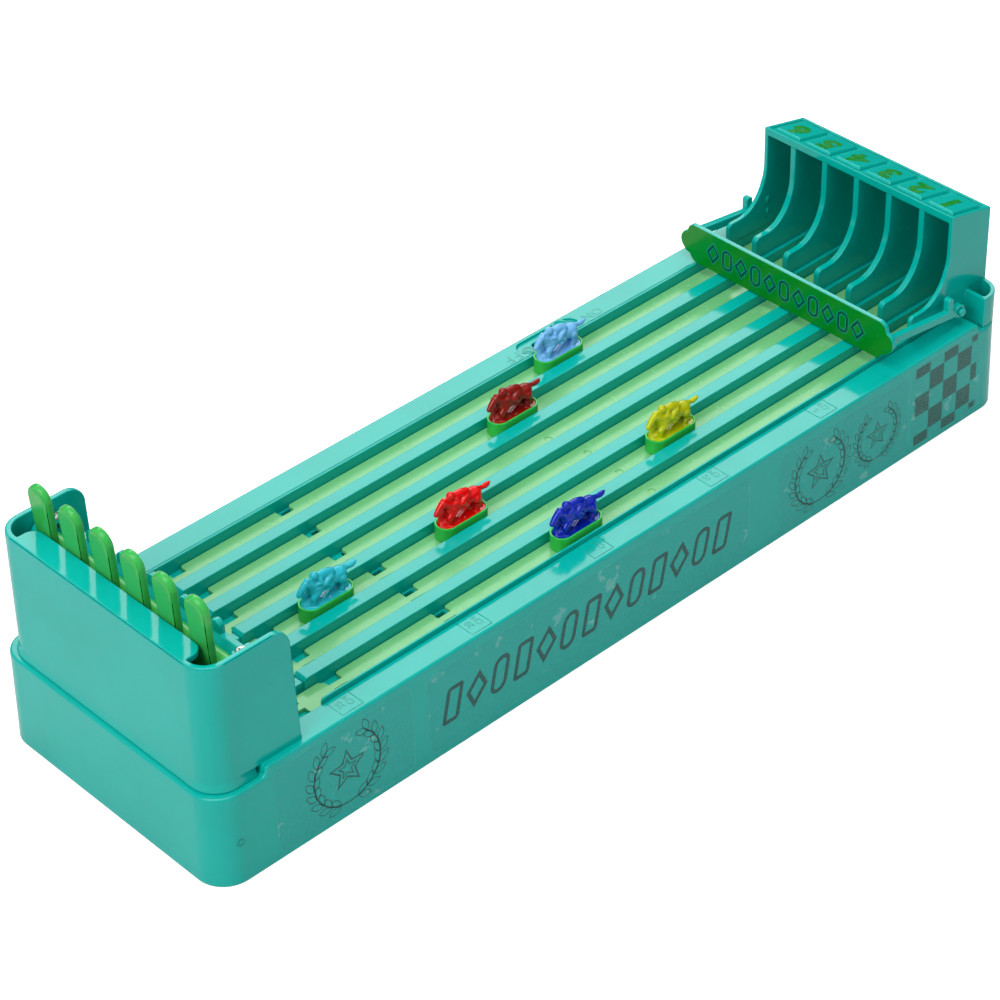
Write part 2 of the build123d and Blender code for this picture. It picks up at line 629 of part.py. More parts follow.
def horse_figure(lane, x):
    """Galloping horse with a crouched rider on an oval plate, head towards the levers."""
    plate = extrude(Pos(0, 0, PLATE_BOTTOM) * SlotOverall(
        TUB_LENGTH - 2 * TUB_WALL - 2 * SEAT_GAP, TUB_WIDTH - 2 * TUB_WALL - 2 * SEAT_GAP),
        PLATE_THICK)
    trunk = slice_of([(-5.8, 7.4), (-4.8, 4.8), (-1.0, 3.8), (2.6, 4.2), (5.6, 3.6), (7.4, 5.4),
                      (7.2, 7.6), (5.4, 9.4), (2.0, 9.2), (-2.6, 9.4)], 3.8, 0)
    neck = slice_of([(-5.6, 6.0), (-3.0, 9.4), (-5.4, 11.6), (-7.2, 11.7), (-10.4, 8.6),
                     (-10.6, 7.2), (-9.6, 6.8), (-7.4, 8.6)], 2.2, 0)
    tail = slice_of([(6.6, 8.7), (6.9, 7.0), (9.6, 6.4), (11.4, 7.4), (11.0, 8.9), (9.2, 9.2)],
                    1.4, 0)
    rider = slice_of([(-2.8, 8.8), (2.6, 8.8), (3.8, 10.2), (1.4, 11.7), (-1.8, 12.0),
                      (-2.6, 12.8), (-4.2, 13.0), (-5.2, 12.2), (-5.0, 10.9), (-3.6, 10.3)], 3.0, 0)
    body = trunk + neck + tail + rider
    legs = [
        ([(-5.2, 6.0), (-2.8, 4.6), (-5.2, 2.6), (-7.4, 1.0), (-8.2, 1.8), (-6.4, 3.6)], -1.6),
        ([(-4.2, 5.4), (-1.8, 4.2), (-3.4, 1.4), (-4.8, -0.2), (-6.2, -0.2), (-5.0, 2.0)], 1.6),
        ([(4.8, 4.6), (7.2, 5.6), (8.0, 2.8), (7.2, -0.2), (5.8, -0.2), (6.6, 2.4)], -1.6),
        ([(3.6, 4.4), (6.0, 5.0), (5.2, 1.8), (3.4, -0.2), (2.0, -0.2), (3.8, 2.2)], 1.6),
    ]
    for points, y in legs:
        body += slice_of(points, 1.5, y)
    return Pos(x, lane_y(lane), 0) * (plate + Pos(0, 0, PLATE_TOP) * body)


# ---------------------------------------------------------------- starting gate
def roof_z(x):
    """Height of the sloping roof at x."""
    return GATE_TOP - (x - GATE_FRONT) * tan(radians(ROOF_SLOPE))


def stall_outline(back, top_drop, bottom):
    """Side view of a stall wall: low rounded toe sweeping up to the roof."""
    toe_top = DECK_TOP + TOE_HEIGHT
    rise = GATE_TOP - 10.0
    sweep = GATE_FRONT - GATE_TOE
    toe = fillet(make_face(Polyline(
        (GATE_TOE, bottom), (GATE_TOE, toe_top), (GATE_TOE + sweep * 0.4, toe_top),
        (GATE_TOE + sweep * 0.4, bottom), (GATE_TOE, bottom))
    ).vertices().sort_by(Axis.X)[:2].sort_by(Axis.Y)[-1], 2.0)
    start = (GATE_TOE + sweep * 0.22, toe_top)
    bend = Spline(start, (GATE_TOE + sweep * 0.57, toe_top + 3.2),
                  (GATE_TOE + sweep * 0.9, toe_top + 14.0), (GATE_FRONT, rise),
                  tangents=[(1, 0), (0, 1)])
    rest = Polyline((GATE_FRONT, rise), (GATE_FRONT, roof_z(GATE_FRONT) - top_drop),
                    (back, roof_z(back) - top_drop), (back, bottom), (start[0], bottom), start)
    return toe + make_face(bend + rest)


def gate_pocket(side):
    """Open-topped screw pocket that follows the rear corner of the base."""
    y0 = GATE_WIDTH / 2 - 0.5
    y1 = GATE_WIDTH / 2 + POCKET_WIDTH
    bottom = LEDGE_TOP + SEAT_GAP
    body = block(POCKET_FRONT, GATE_BACK, y0, y1, bottom, POCKET_TOP)
    corner = body.edges().filter_by(Axis.Z).sort_by(lambda e: e.center().X + e.center().Y)[-1]
    body = fillet(corner, BASE_CORNER - 2.0)
    hole = block(POCKET_FRONT + POCKET_WALL, GATE_BACK - POCKET_WALL, y0 + 0.5,
                 y1 - POCKET_WALL, bottom + SKIN, POCKET_TOP)
    corner = hole.edges().filter_by(Axis.Z).sort_by(lambda e: e.center().X + e.center().Y)[-1]
    hole = fillet(corner, BASE_CORNER - 2.0 - POCKET_WALL)
    body -= hole
    x, y = pocket_screw_place()
    body -= block_round(x, y, bottom, POCKET_TOP, SCREW_SHANK_RADIUS)
    return body if side > 0 else mirror(body, Plane.XZ)


def pocket_screw_place():
    return (POCKET_FRONT + POCKET_WALL + SCREW_HEAD_RADIUS + 1,
            GATE_WIDTH / 2 + SCREW_HEAD_RADIUS + 0.8)


def gate_housing():
    half = GATE_WIDTH / 2
    inner = half - GATE_WALL
    outline = stall_outline(GATE_BACK, 0, DECK_TOP)
    housing = across(outline, -half, -inner) + across(outline, inner, half)
    roof = make_face(Polyline(
        (GATE_FRONT, GATE_TOP), (GATE_BACK, roof_z(GATE_BACK)),
        (GATE_BACK, roof_z(GATE_BACK) - ROOF_THICK), (GATE_FRONT, GATE_TOP - ROOF_THICK),
        (GATE_FRONT, GATE_TOP)))
    housing += across(roof, -half, half)
    back_top = roof_z(GATE_INSIDE) - ROOF_THICK / 2
    housing += block(GATE_INSIDE, GATE_BACK, -half, half, DECK_TOP, back_top)
    # foot behind the track, standing on the rear ledge
    housing += block(OPENING_END + SEAT_GAP, GATE_BACK, -half, half, LEDGE_TOP + SEAT_GAP,
                     DECK_TOP)
    for side in (-1, 1):
        housing += gate_pocket(side)
    # sunk panel in the roof that the number plates stand in
    sunk = make_face(Polyline(
        (GATE_FRONT + RIM_WIDTH, roof_z(GATE_FRONT + RIM_WIDTH) - RIM_DEPTH),
        (GATE_BACK - RIM_WIDTH, roof_z(GATE_BACK - RIM_WIDTH) - RIM_DEPTH),
        (GATE_BACK - RIM_WIDTH, GATE_TOP + 2), (GATE_FRONT + RIM_WIDTH, GATE_TOP + 2),
        (GATE_FRONT + RIM_WIDTH, roof_z(GATE_FRONT + RIM_WIDTH) - RIM_DEPTH)))
    housing -= across(sunk, -half + RIM_WIDTH, half - RIM_WIDTH)
    # bores for the gate bar's pins
    housing -= rod(BAR_PIVOT_X, BAR_PIVOT_Z, PIN_RADIUS, -half, half)
    return housing


def gate_dividers():
    """Walls between the stalls, standing on the lane dividers."""
    outline = stall_outline(GATE_INSIDE, ROOF_THICK, DECK_TOP)
    return [across(outline, y - STALL_WALL / 2, y + STALL_WALL / 2) for y in divider_ys()]


def number_plates():
    """Bevelled plates, one over each stall, square to the sloping roof."""
    plates = []
    middle = (GATE_FRONT + GATE_BACK) / 2
    pitch = (GATE_WIDTH - 2 * RIM_WIDTH) / LANES
    for lane in range(1, LANES + 1):
        plate = extrude(Rectangle(*PLATE_SIZE), PLATE_RAISE, taper=35)
        plates.append(Pos(middle, (lane - (LANES + 1) / 2) * pitch, roof_z(middle) - RIM_DEPTH)
                      * Rot(0, ROOF_SLOPE, 0) * plate)
    return plates


def pocket_screws():
    x, y = pocket_screw_place()
    top = LEDGE_TOP + SEAT_GAP + SKIN + SCREW_HEAD_HEIGHT
    return [screw(x, side * y, top) for side in (-1, 1)]


# ---------------------------------------------------------------- gate bar
def bar_outline(inset):
    """Front view of the board: straight top, scalloped ends."""
    top = BAR_TOP - inset
    low = BAR_BOTTOM + inset
    end = BAR_HALF - inset
    pts = [(BAR_HALF - 6.6, top), (BAR_HALF - 3.6, top - 1.6), (BAR_HALF - 2.8, top - 2.2),
           (end, top - 6.0), (BAR_HALF - 1.8 - inset, low + 4.0), (BAR_HALF - 4.4, low + 2.0),
           (BAR_HALF - 8.8, low)]
    edge = Line((0, top), pts[0])
    edge += RadiusArc(pts[0], pts[1], 3.2)
    edge += Line(pts[1], pts[2])
    edge += ThreePointArc(pts[2], pts[3], pts[4])
    edge += RadiusArc(pts[4], pts[5], 3.0)
    edge += Line(pts[5], pts[6])
    edge += Line(pts[6], (0, low))
    edge += Line((0, low), (0, top))
    face = make_face(edge)
    return face + mirror(face, Plane.YZ)


def bar_arm(side):
    """Arm from the board back to its eye, with the finger lug."""
    y0, y1 = sorted((side * (BAR_ARM_Y - BAR_ARM_THICK / 2), side * (BAR_ARM_Y + BAR_ARM_THICK / 2)))
    front_z = BAR_PIVOT_Z + 4.6
    half = BAR_ARM_HEIGHT / 2
    face = make_face(Polyline(
        (BAR_X - SIGN_DEPTH, front_z - half), (BAR_PIVOT_X, BAR_PIVOT_Z - half),
        (BAR_PIVOT_X, BAR_PIVOT_Z + half), (BAR_X - SIGN_DEPTH, front_z + half),
        (BAR_X - SIGN_DEPTH, front_z - half)))
    face += Pos(BAR_PIVOT_X, BAR_PIVOT_Z) * Circle(BAR_EYE_RADIUS)
    lug_x = BAR_PIVOT_X - 5.0
    lug = Pos(lug_x, BAR_PIVOT_Z + LUG_HEIGHT / 2) * Rectangle(2.6, LUG_HEIGHT)
    face += fillet(lug.vertices().group_by(Axis.Y)[-1], 1.2)
    arm = across(face, y0, y1)
    return arm - rod(BAR_PIVOT_X, BAR_PIVOT_Z, PIN_RADIUS + BORE_GAP, y0, y1)


def gate_bar():
    board = extrude(Plane.YZ.offset(BAR_X - BAR_THICK) * bar_outline(0), BAR_THICK)
    board -= extrude(Plane.YZ.offset(BAR_X - BAR_THICK) * bar_outline(SIGN_BORDER), SIGN_DEPTH)
    return board + bar_arm(-1) + bar_arm(1)


def sign_face():
    return extrude(Plane.YZ.offset(BAR_X - BAR_THICK) * bar_outline(SIGN_BORDER), SIGN_DEPTH)


def gate_pins():
    """Pins pressed into the gate walls, with heads outside the arms."""
    pins = []
    inner = GATE_WIDTH / 2 - GATE_WALL
    head = BAR_ARM_Y + BAR_ARM_THICK / 2 + SIDE_GAP
    for side in (-1, 1):
        y0, y1 = sorted((side * inner, side * head))
        h0, h1 = sorted((side * head, side * (head + PIN_HEAD_THICK)))
        pins.append(rod(BAR_PIVOT_X, BAR_PIVOT_Z, PIN_RADIUS, y0, y1)
                    + rod(BAR_PIVOT_X, BAR_PIVOT_Z, PIN_HEAD_RADIUS, h0, h1))
    return pins


# ---------------------------------------------------------------- switch
def switch_knob():
    """Round knob on the far rail, with its stem and the keeper under the rail."""
    bed = DECK_TOP - CHANNEL_DEPTH + RUN_GAP
    knob = block_round(SWITCH_X, SWITCH_Y, bed, bed + KNOB_HEIGHT, KNOB_RADIUS)
    knob -= block_round(SWITCH_X, SWITCH_Y, bed + KNOB_HEIGHT - 0.6, bed + KNOB_HEIGHT,
                        KNOB_RADIUS - 0.7)
    half = STEM_WIDTH / 2
    under = DECK_TOP - SKIN - RUN_GAP
    knob += block_round(SWITCH_X, SWITCH_Y, under, bed, half)
    size = KEEPER_SIZE / 2
    knob += block(SWITCH_X - size, SWITCH_X + size, SWITCH_Y - half - 0.6, SWITCH_Y + half + 0.6,
                  under - 1.2, under)
    return knob


# ---------------------------------------------------------------- write the pieces
os.makedirs("parts", exist_ok=True)
save("base_shell", base_shell())
save("bottom_cover", bottom_cover())
save("battery_door", battery_door())
save("cover_screws", Compound(cover_screws()))
save("track_floor", track_floor())
save("lane_dividers", Compound(lane_dividers()))
save("track_lips", Compound(track_lips()))
save("lever_housing", lever_housing())
save("lever_bracket", lever_bracket())
save("lever_axle", lever_axle())
save("bracket_screws", Compound(bracket_screws()))
for lane in range(1, LANES + 1):
    save(f"lever_{lane}", lever(lane))
    save(f"drive_strip_{lane}", drive_strip(lane))
for colour, lane, x in HORSES:
    save(f"horse_tub_{colour}", horse_tub(lane, x))
    save(f"horse_figure_{colour}", horse_figure(lane, x))
save("gate_housing", gate_housing())
save("gate_dividers", Compound(gate_dividers()))
save("number_plates", Compound(number_plates()))
save("pocket_screws", Compound(pocket_screws()))
save("gate_bar", gate_bar())
save("sign_face", sign_face())
save("gate_pins", Compound(gate_pins()))
save("switch_knob", switch_knob())
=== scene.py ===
import json
from math import cos, pi, radians, sin, tan

import bmesh
import bpy
from mathutils import Matrix, Vector

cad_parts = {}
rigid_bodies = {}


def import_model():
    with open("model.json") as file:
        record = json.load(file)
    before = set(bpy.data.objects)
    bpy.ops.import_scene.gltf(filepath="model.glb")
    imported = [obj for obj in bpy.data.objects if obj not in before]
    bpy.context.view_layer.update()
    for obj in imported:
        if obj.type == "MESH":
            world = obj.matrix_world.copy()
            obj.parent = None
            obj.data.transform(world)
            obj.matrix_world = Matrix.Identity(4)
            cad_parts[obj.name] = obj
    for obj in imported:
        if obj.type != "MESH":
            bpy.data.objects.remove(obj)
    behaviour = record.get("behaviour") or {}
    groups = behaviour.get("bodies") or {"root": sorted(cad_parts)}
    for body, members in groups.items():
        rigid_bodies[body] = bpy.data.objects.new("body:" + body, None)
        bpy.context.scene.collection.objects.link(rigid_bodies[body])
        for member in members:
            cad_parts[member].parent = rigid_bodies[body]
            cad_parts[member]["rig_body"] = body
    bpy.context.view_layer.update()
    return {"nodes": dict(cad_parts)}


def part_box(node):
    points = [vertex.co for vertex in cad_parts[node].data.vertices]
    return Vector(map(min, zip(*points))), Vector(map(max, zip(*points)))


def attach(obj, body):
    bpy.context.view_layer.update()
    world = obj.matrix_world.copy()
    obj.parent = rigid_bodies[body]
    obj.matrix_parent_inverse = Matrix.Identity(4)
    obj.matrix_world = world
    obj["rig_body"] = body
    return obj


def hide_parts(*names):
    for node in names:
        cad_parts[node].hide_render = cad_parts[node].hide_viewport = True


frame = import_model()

mm = 0.001

# ---------------------------------------------------------------- table, light, camera
# The game stands on a plain white table. A bright soft lamp behind it is what the tops
# of rails and strips mirror towards the camera; the room is dark near the horizon, so
# slopes and walls keep their deep colour, and three more lamps light the top and front.
TABLE_REACH = 4.0
TABLE_DROP = 0.1 * mm           # how far the table lies below the base's rim
TABLE_GREY = 0.7
TABLE_GLOW = 0.6                # keeps the table white in the picture alone
SKY_RANGE = (0.3, 0.75)         # share of the room's height over which it brightens
SKY_LIGHT = (0.03, 0.62)


def in_scene(name, content, material=None):
    """Object made of a mesh, lamp, lens or text, put in the scene."""
    if material:
        content.materials.clear()
        content.materials.append(material)
    piece = bpy.data.objects.new(name, content)
    bpy.context.collection.objects.link(piece)
    return piece


table_mesh = bpy.data.meshes.new("table")
table_mesh.from_pydata([(x * TABLE_REACH, y * TABLE_REACH, -TABLE_DROP)
                        for x, y in ((-1, -1), (1, -1), (1, 1), (-1, 1))], [], [(0, 1, 2, 3)])
table_top = bpy.data.materials.new("table_top")
table_top.use_nodes = True
table_skin = table_top.node_tree.nodes["Principled BSDF"]
table_skin.inputs["Base Color"].default_value = (TABLE_GREY, TABLE_GREY, TABLE_GREY, 1)
table_skin.inputs["Roughness"].default_value = 0.7
table_skin.inputs["Specular IOR Level"].default_value = 0.1
table_skin.inputs["Emission Color"].default_value = (1, 1, 1, 1)
seen = table_top.node_tree.nodes.new("ShaderNodeLightPath")
glow = table_top.node_tree.nodes.new("ShaderNodeMath")
glow.operation = "MULTIPLY"
glow.inputs[1].default_value = TABLE_GLOW
table_top.node_tree.links.new(seen.outputs["Is Camera Ray"], glow.inputs[0])
table_top.node_tree.links.new(glow.outputs[0], table_skin.inputs["Emission Strength"])
in_scene("table", table_mesh, table_top)

room = bpy.data.worlds.new("room")
room.use_nodes = True
sky_place = room.node_tree.nodes.new("ShaderNodeTexCoord")
sky_height = room.node_tree.nodes.new("ShaderNodeSeparateXYZ")
sky_rise = room.node_tree.nodes.new("ShaderNodeMapRange")
for label, value in zip(("From Min", "From Max", "To Min", "To Max"), SKY_RANGE + SKY_LIGHT):
    sky_rise.inputs[label].default_value = value
room.node_tree.links.new(sky_place.outputs["Generated"], sky_height.inputs[0])
room.node_tree.links.new(sky_height.outputs["Z"], sky_rise.inputs["Value"])
room.node_tree.links.new(sky_rise.outputs["Result"],
                         room.node_tree.nodes["Background"].inputs["Strength"])
room.node_tree.nodes["Background"].inputs["Color"].default_value = (1.0, 1.0, 1.0, 1)
bpy.context.scene.world = room
bpy.context.scene.view_settings.view_transform = "Standard"
LAMP_TARGET = Vector((0, 0, 0.04))


def soft_lamp(name, place, width, depth, watts):
    """Rectangular soft lamp aimed at the middle of the game."""
    lamp = bpy.data.lights.new(name, "AREA")
    lamp.shape = "RECTANGLE"
    lamp.size, lamp.size_y, lamp.energy = width, depth, watts
    holder = in_scene(name, lamp)
    holder.location = place
    aim = LAMP_TARGET - Vector(place)
    holder.rotation_euler = aim.to_track_quat("-Z", "Y").to_euler()


soft_lamp("lamp_behind", (0.95, 1.05, 1.05), 1.2, 0.8, 10)
soft_lamp("lamp_over", (-0.25, -0.1, 1.5), 1.0, 1.0, 12)
soft_lamp("lamp_front", (-1.4, -0.25, 0.9), 0.9, 0.9, 13)
soft_lamp("lamp_near", (0.1, -1.6, 0.7), 0.8, 0.8, 1.8)

# the camera's place and axes, fitted to the straight edges of base, lanes and gate
CAMERA_PLACE = Vector((-0.5524, -0.5869, 0.6355))
CAMERA_RIGHT = Vector((0.7295, -0.6834, -0.0275))
CAMERA_BACK = Vector((-0.5423, -0.6025, 0.5856))
lens = bpy.data.cameras.new("camera")
lens.sensor_width, lens.lens = 36.0, 116.2
lens.shift_x, lens.shift_y = 0.0278, -0.0821
lens.clip_start, lens.clip_end = 0.05, 20
camera = in_scene("camera", lens)
camera_axes = Matrix((CAMERA_RIGHT, CAMERA_BACK.cross(CAMERA_RIGHT), CAMERA_BACK)).transposed()
camera.matrix_world = Matrix.Translation(CAMERA_PLACE) @ camera_axes.to_4x4()
bpy.context.scene.camera = camera

# ---------------------------------------------------------------- base
# One long glossy teal moulding: tapered walls, rails beside the track and a ledge at
# each end. Injection moulded in one piece, so its edges are slightly rounded.
BASE_LENGTH = 340.0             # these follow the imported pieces, in mm
BASE_WIDTH = 100.8
WALL_DRAFT = tan(radians(1.0))
WELD = 0.002 * mm               # points nearer than this are one point
SHARP_ANGLE = radians(32)       # edges turning more than this are rounded
TEAL = (0.001, 0.425, 0.368)
TEAL_DEEP = (0.0005, 0.395, 0.338)


def along(x):
    """Track distance from the lever end in mm, as a place in the frame."""
    return (x - BASE_LENGTH / 2) * mm


def shader_group(name, inputs, outputs):
    """Empty shader node group with named sockets."""
    tree = bpy.data.node_groups.new(name, "ShaderNodeTree")
    for label, kind, value in inputs:
        tree.interface.new_socket(label, in_out="INPUT", socket_type=kind).default_value = value
    for label, kind in outputs:
        tree.interface.new_socket(label, in_out="OUTPUT", socket_type=kind)
    return tree, tree.nodes.new("NodeGroupInput"), tree.nodes.new("NodeGroupOutput")


# flow clouding, small changes of gloss and a faint ripple, as moulded plastic has
moulded, moulded_in, moulded_out = shader_group(
    "moulded_plastic",
    [("Colour", "NodeSocketColor", (0.5, 0.5, 0.5, 1)),
     ("Cloud", "NodeSocketColor", (0.4, 0.4, 0.4, 1)),
     ("Roughness", "NodeSocketFloat", 0.2), ("Cloud Scale", "NodeSocketFloat", 40.0)],
    [("Colour", "NodeSocketColor"), ("Roughness", "NodeSocketFloat"), ("Height", "NodeSocketFloat")])
spot = moulded.nodes.new("ShaderNodeTexCoord")


def noise(tree, spot, scale, detail):
    """Noise texture on object coordinates."""
    node = tree.nodes.new("ShaderNodeTexNoise")
    tree.links.new(spot.outputs["Object"], node.inputs["Vector"])
    if scale:
        node.inputs["Scale"].default_value = scale
    node.inputs["Detail"].default_value = detail
    return node


def between(tree, source, low, high, to_low, to_high):
    """Stretch a value from one range to another."""
    node = tree.nodes.new("ShaderNodeMapRange")
    tree.links.new(source, node.inputs["Value"])
    for label, value in zip(("From Min", "From Max", "To Min", "To Max"), (low, high, to_low, to_high)):
        node.inputs[label].default_value = value
    return node.outputs["Result"]


cloud = noise(moulded, spot, 0, 3)
moulded.links.new(moulded_in.outputs["Cloud Scale"], cloud.inputs["Scale"])
tint = moulded.nodes.new("ShaderNodeMix")
tint.data_type = "RGBA"
moulded.links.new(between(moulded, cloud.outputs["Fac"], 0.36, 0.64, 0, 1), tint.inputs[0])
moulded.links.new(moulded_in.outputs["Colour"], tint.inputs[6])
moulded.links.new(moulded_in.outputs["Cloud"], tint.inputs[7])
handled = noise(moulded, spot, 260, 4)
gloss = moulded.nodes.new("ShaderNodeMath")
gloss.operation = "MULTIPLY"
moulded.links.new(moulded_in.outputs["Roughness"], gloss.inputs[0])
moulded.links.new(between(moulded, handled.outputs["Fac"], 0.35, 0.7, 0.75, 1.5), gloss.inputs[1])
ripple = noise(moulded, spot, 900, 2)
moulded.links.new(tint.outputs[2], moulded_out.inputs["Colour"])
moulded.links.new(gloss.outputs[0], moulded_out.inputs["Roughness"])
moulded.links.new(ripple.outputs["Fac"], moulded_out.inputs["Height"])


def plastic(name, colour, cloud_colour, roughness=0.14, ripple_depth=0.015, cloud_scale=40.0, coat=0.0):
    """Glossy moulded plastic in one colour."""
    paint = bpy.data.materials.new(name)
    paint.use_nodes = True
    nodes, links = paint.node_tree.nodes, paint.node_tree.links
    skin = nodes["Principled BSDF"]
    grain = nodes.new("ShaderNodeGroup")
    grain.node_tree = moulded
    grain.inputs["Colour"].default_value = (*colour, 1)
    grain.inputs["Cloud"].default_value = (*cloud_colour, 1)
    grain.inputs["Roughness"].default_value = roughness
    grain.inputs["Cloud Scale"].default_value = cloud_scale
    bump = nodes.new("ShaderNodeBump")
    bump.inputs["Strength"].default_value = 0.6
    bump.inputs["Distance"].default_value = ripple_depth * mm
    links.new(grain.outputs["Colour"], skin.inputs["Base Color"])
    links.new(grain.outputs["Roughness"], skin.inputs["Roughness"])
    links.new(grain.outputs["Height"], bump.inputs["Height"])
    links.new(bump.outputs["Normal"], skin.inputs["Normal"])
    skin.inputs["IOR"].default_value = 1.38
    skin.inputs["Coat Weight"].default_value = coat
    skin.inputs["Coat Roughness"].default_value = 0.05
    return paint


def baked(piece):
    """Mesh of a piece with all its modifiers applied, in place of the modifiers."""
    bpy.context.view_layer.update()
    shaped = piece.evaluated_get(bpy.context.evaluated_depsgraph_get())
    mesh = bpy.data.meshes.new_from_object(shaped)
    piece.modifiers.clear()
    piece.data = mesh
    return piece


def softened(node, material, radius=0.25, steps=2, reshape=None):
    """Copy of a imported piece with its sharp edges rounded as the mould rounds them."""
    mesh = frame["nodes"][node].data.copy()
    piece = in_scene(node + "_finished", mesh)
    form = bmesh.new()
    form.from_mesh(mesh)
    bmesh.ops.remove_doubles(form, verts=form.verts, dist=WELD)
    if reshape:
        reshape(form)
    bmesh.ops.dissolve_limit(form, angle_limit=radians(0.4), verts=form.verts, edges=form.edges)
    for face in form.faces:
        face.smooth = True
    form.to_mesh(mesh)
    form.free()
    edge = piece.modifiers.new("edge", "BEVEL")
    edge.width, edge.segments = radius * mm, steps
    edge.limit_method, edge.angle_limit = "ANGLE", SHARP_ANGLE
    edge.use_clamp_overlap = False
    edge.miter_outer = "MITER_ARC"
    even = piece.modifiers.new("even", "WEIGHTED_NORMAL")
    even.weight = 80
    baked(piece)
    piece.data.materials.clear()
    piece.data.materials.append(material)
    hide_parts(node)
    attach(piece, frame["nodes"][node]["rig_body"])
    return piece


teal = plastic("teal_plastic", TEAL, TEAL_DEEP, roughness=0.10)
softened("base_shell", teal, 0.3)

# ---------------------------------------------------------------- marks on the rails
# Every 5 cm the near rail carries a small engraved square with its distance to the
# finish; the far rail carries ON and OFF beside the switch. Cut into the mould.
MARKS = 5
MARK_SIZE = 7.8
MARK_LINE = 0.28
MARK_DEPTH = 0.05
MARK_Y = -44.3
MARK_START = 53.5
MARK_PITCH = 50.2
NEAR_RAIL_TOP = 35.6
FAR_RAIL_TOP = 37.3
CAPITAL_SHARE = 0.7             # height of a capital for a text size of 1
SWITCH_WORD_Y = 43.3
DISTANCE_HEIGHT = 2.2
UNIT_HEIGHT = 2.0
# darker teal in the engraved lines and letters: painted shade of the grooves, as the moulding is one
# teal throughout
groove_shade = plastic("groove_painted_shade", (0.0, 0.30, 0.23), (0.0, 0.33, 0.255), roughness=0.25)


def node_tree(name, inputs):
    """Geometry node tree with named inputs and a geometry output."""
    tree = bpy.data.node_groups.new(name, "GeometryNodeTree")
    for label, kind in inputs:
        tree.interface.new_socket(label, in_out="INPUT", socket_type=kind)
    tree.interface.new_socket("Geometry", in_out="OUTPUT", socket_type="NodeSocketGeometry")
    return tree, tree.nodes.new("NodeGroupInput"), tree.nodes.new("NodeGroupOutput")


def grown(name, tree, values):
    """Object whose mesh a geometry node tree makes from named values."""
    piece = in_scene(name, bpy.data.meshes.new(name))
    maker = piece.modifiers.new("maker", "NODES")
    maker.node_group = tree
    for item in tree.interface.items_tree:
        if item.in_out == "INPUT" and item.name in values:
            maker[item.identifier] = values[item.name]
    return baked(piece)


marks, marks_in, marks_out = node_tree("distance_squares", [
    ("Count", "NodeSocketInt"), ("Pitch", "NodeSocketFloat"), ("Size", "NodeSocketFloat"),
    ("Line", "NodeSocketFloat"), ("Depth", "NodeSocketFloat"), ("Start", "NodeSocketVector"),
    ("Material", "NodeSocketMaterial")])
row = marks.nodes.new("GeometryNodeMeshLine")
step = marks.nodes.new("ShaderNodeCombineXYZ")
square = marks.nodes.new("GeometryNodeCurvePrimitiveQuadrilateral")
rib = marks.nodes.new("GeometryNodeCurvePrimitiveQuadrilateral")
frame_line = marks.nodes.new("GeometryNodeCurveToMesh")
place = marks.nodes.new("GeometryNodeInstanceOnPoints")
solid = marks.nodes.new("GeometryNodeRealizeInstances")
colour = marks.nodes.new("GeometryNodeSetMaterial")
for out, node, label in (("Count", row, "Count"), ("Start", row, "Start Location"),
                         ("Pitch", step, "X"), ("Size", square, "Width"), ("Size", square, "Height"),
                         ("Line", rib, "Width"), ("Depth", rib, "Height"),
                         ("Material", colour, "Material")):
    marks.links.new(marks_in.outputs[out], node.inputs[label])
marks.links.new(step.outputs[0], row.inputs["Offset"])
marks.links.new(square.outputs[0], frame_line.inputs["Curve"])
marks.links.new(rib.outputs[0], frame_line.inputs["Profile Curve"])
marks.links.new(row.outputs[0], place.inputs["Points"])
marks.links.new(frame_line.outputs[0], place.inputs["Instance"])
marks.links.new(place.outputs[0], solid.inputs[0])
marks.links.new(solid.outputs[0], colour.inputs["Geometry"])
marks.links.new(colour.outputs[0], marks_out.inputs[0])
# distance squares drawn in the painted groove shade
squares = grown("distance_squares", marks, {
    "Count": MARKS, "Pitch": MARK_PITCH * mm, "Size": MARK_SIZE * mm, "Line": MARK_LINE * mm,
    "Depth": 2 * MARK_DEPTH * mm, "Start": (along(MARK_START), MARK_Y * mm, NEAR_RAIL_TOP * mm),
    "Material": groove_shade})
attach(squares, "frame")


def lettering(name, words, height, place, right, up, material, body, depth=MARK_DEPTH,
              weight=0.0, spread=1.0):
    """Raised characters: their middle at place, reading along right, upright along up."""
    line = bpy.data.curves.new(name, "FONT")
    line.body = words
    line.size = height / CAPITAL_SHARE * mm
    line.align_x, line.align_y = "CENTER", "CENTER"
    line.extrude = depth * mm
    line.offset = weight * mm
    line.space_character = spread
    line.resolution_u = 5
    holder = in_scene(name + "_line", line)
    mesh = bpy.data.meshes.new_from_object(
        holder.evaluated_get(bpy.context.evaluated_depsgraph_get()))
    bpy.data.objects.remove(holder)
    right, up = Vector(right), Vector(up)
    turn = Matrix((right, up, right.cross(up))).transposed().to_4x4()
    mesh.transform(Matrix.Translation(Vector(place)) @ turn)
    form = bmesh.new()
    form.from_mesh(mesh)
    bmesh.ops.remove_doubles(form, verts=form.verts, dist=WELD)
    form.to_mesh(mesh)
    form.free()
    piece = in_scene(name, mesh, material)
    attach(piece, body)


# distances, units and switch words drawn in the painted groove shade
for k in range(MARKS):
    distance = (MARKS - k) * 5
    for label, words, height, shift in (("distance", str(distance), DISTANCE_HEIGHT, -1.5),
                                        ("unit", "CM", UNIT_HEIGHT, 1.7)):
        lettering(f"{label}_{distance}", words, height,
                  (along(MARK_START + k * MARK_PITCH + shift), MARK_Y * mm, NEAR_RAIL_TOP * mm),
                  (0, 1, 0), (-1, 0, 0), groove_shade, "frame")
for words, x, height, spread in (("OFF", 206.6, 3.9, 1.35), ("ON", 239.5, 3.5, 1.1)):
    lettering(f"switch_word_{words.lower()}", words, height,
              (along(x), SWITCH_WORD_Y * mm, FAR_RAIL_TOP * mm),
              (-1, 0, 0), (0, -1, 0), groove_shade, "frame", spread=spread)

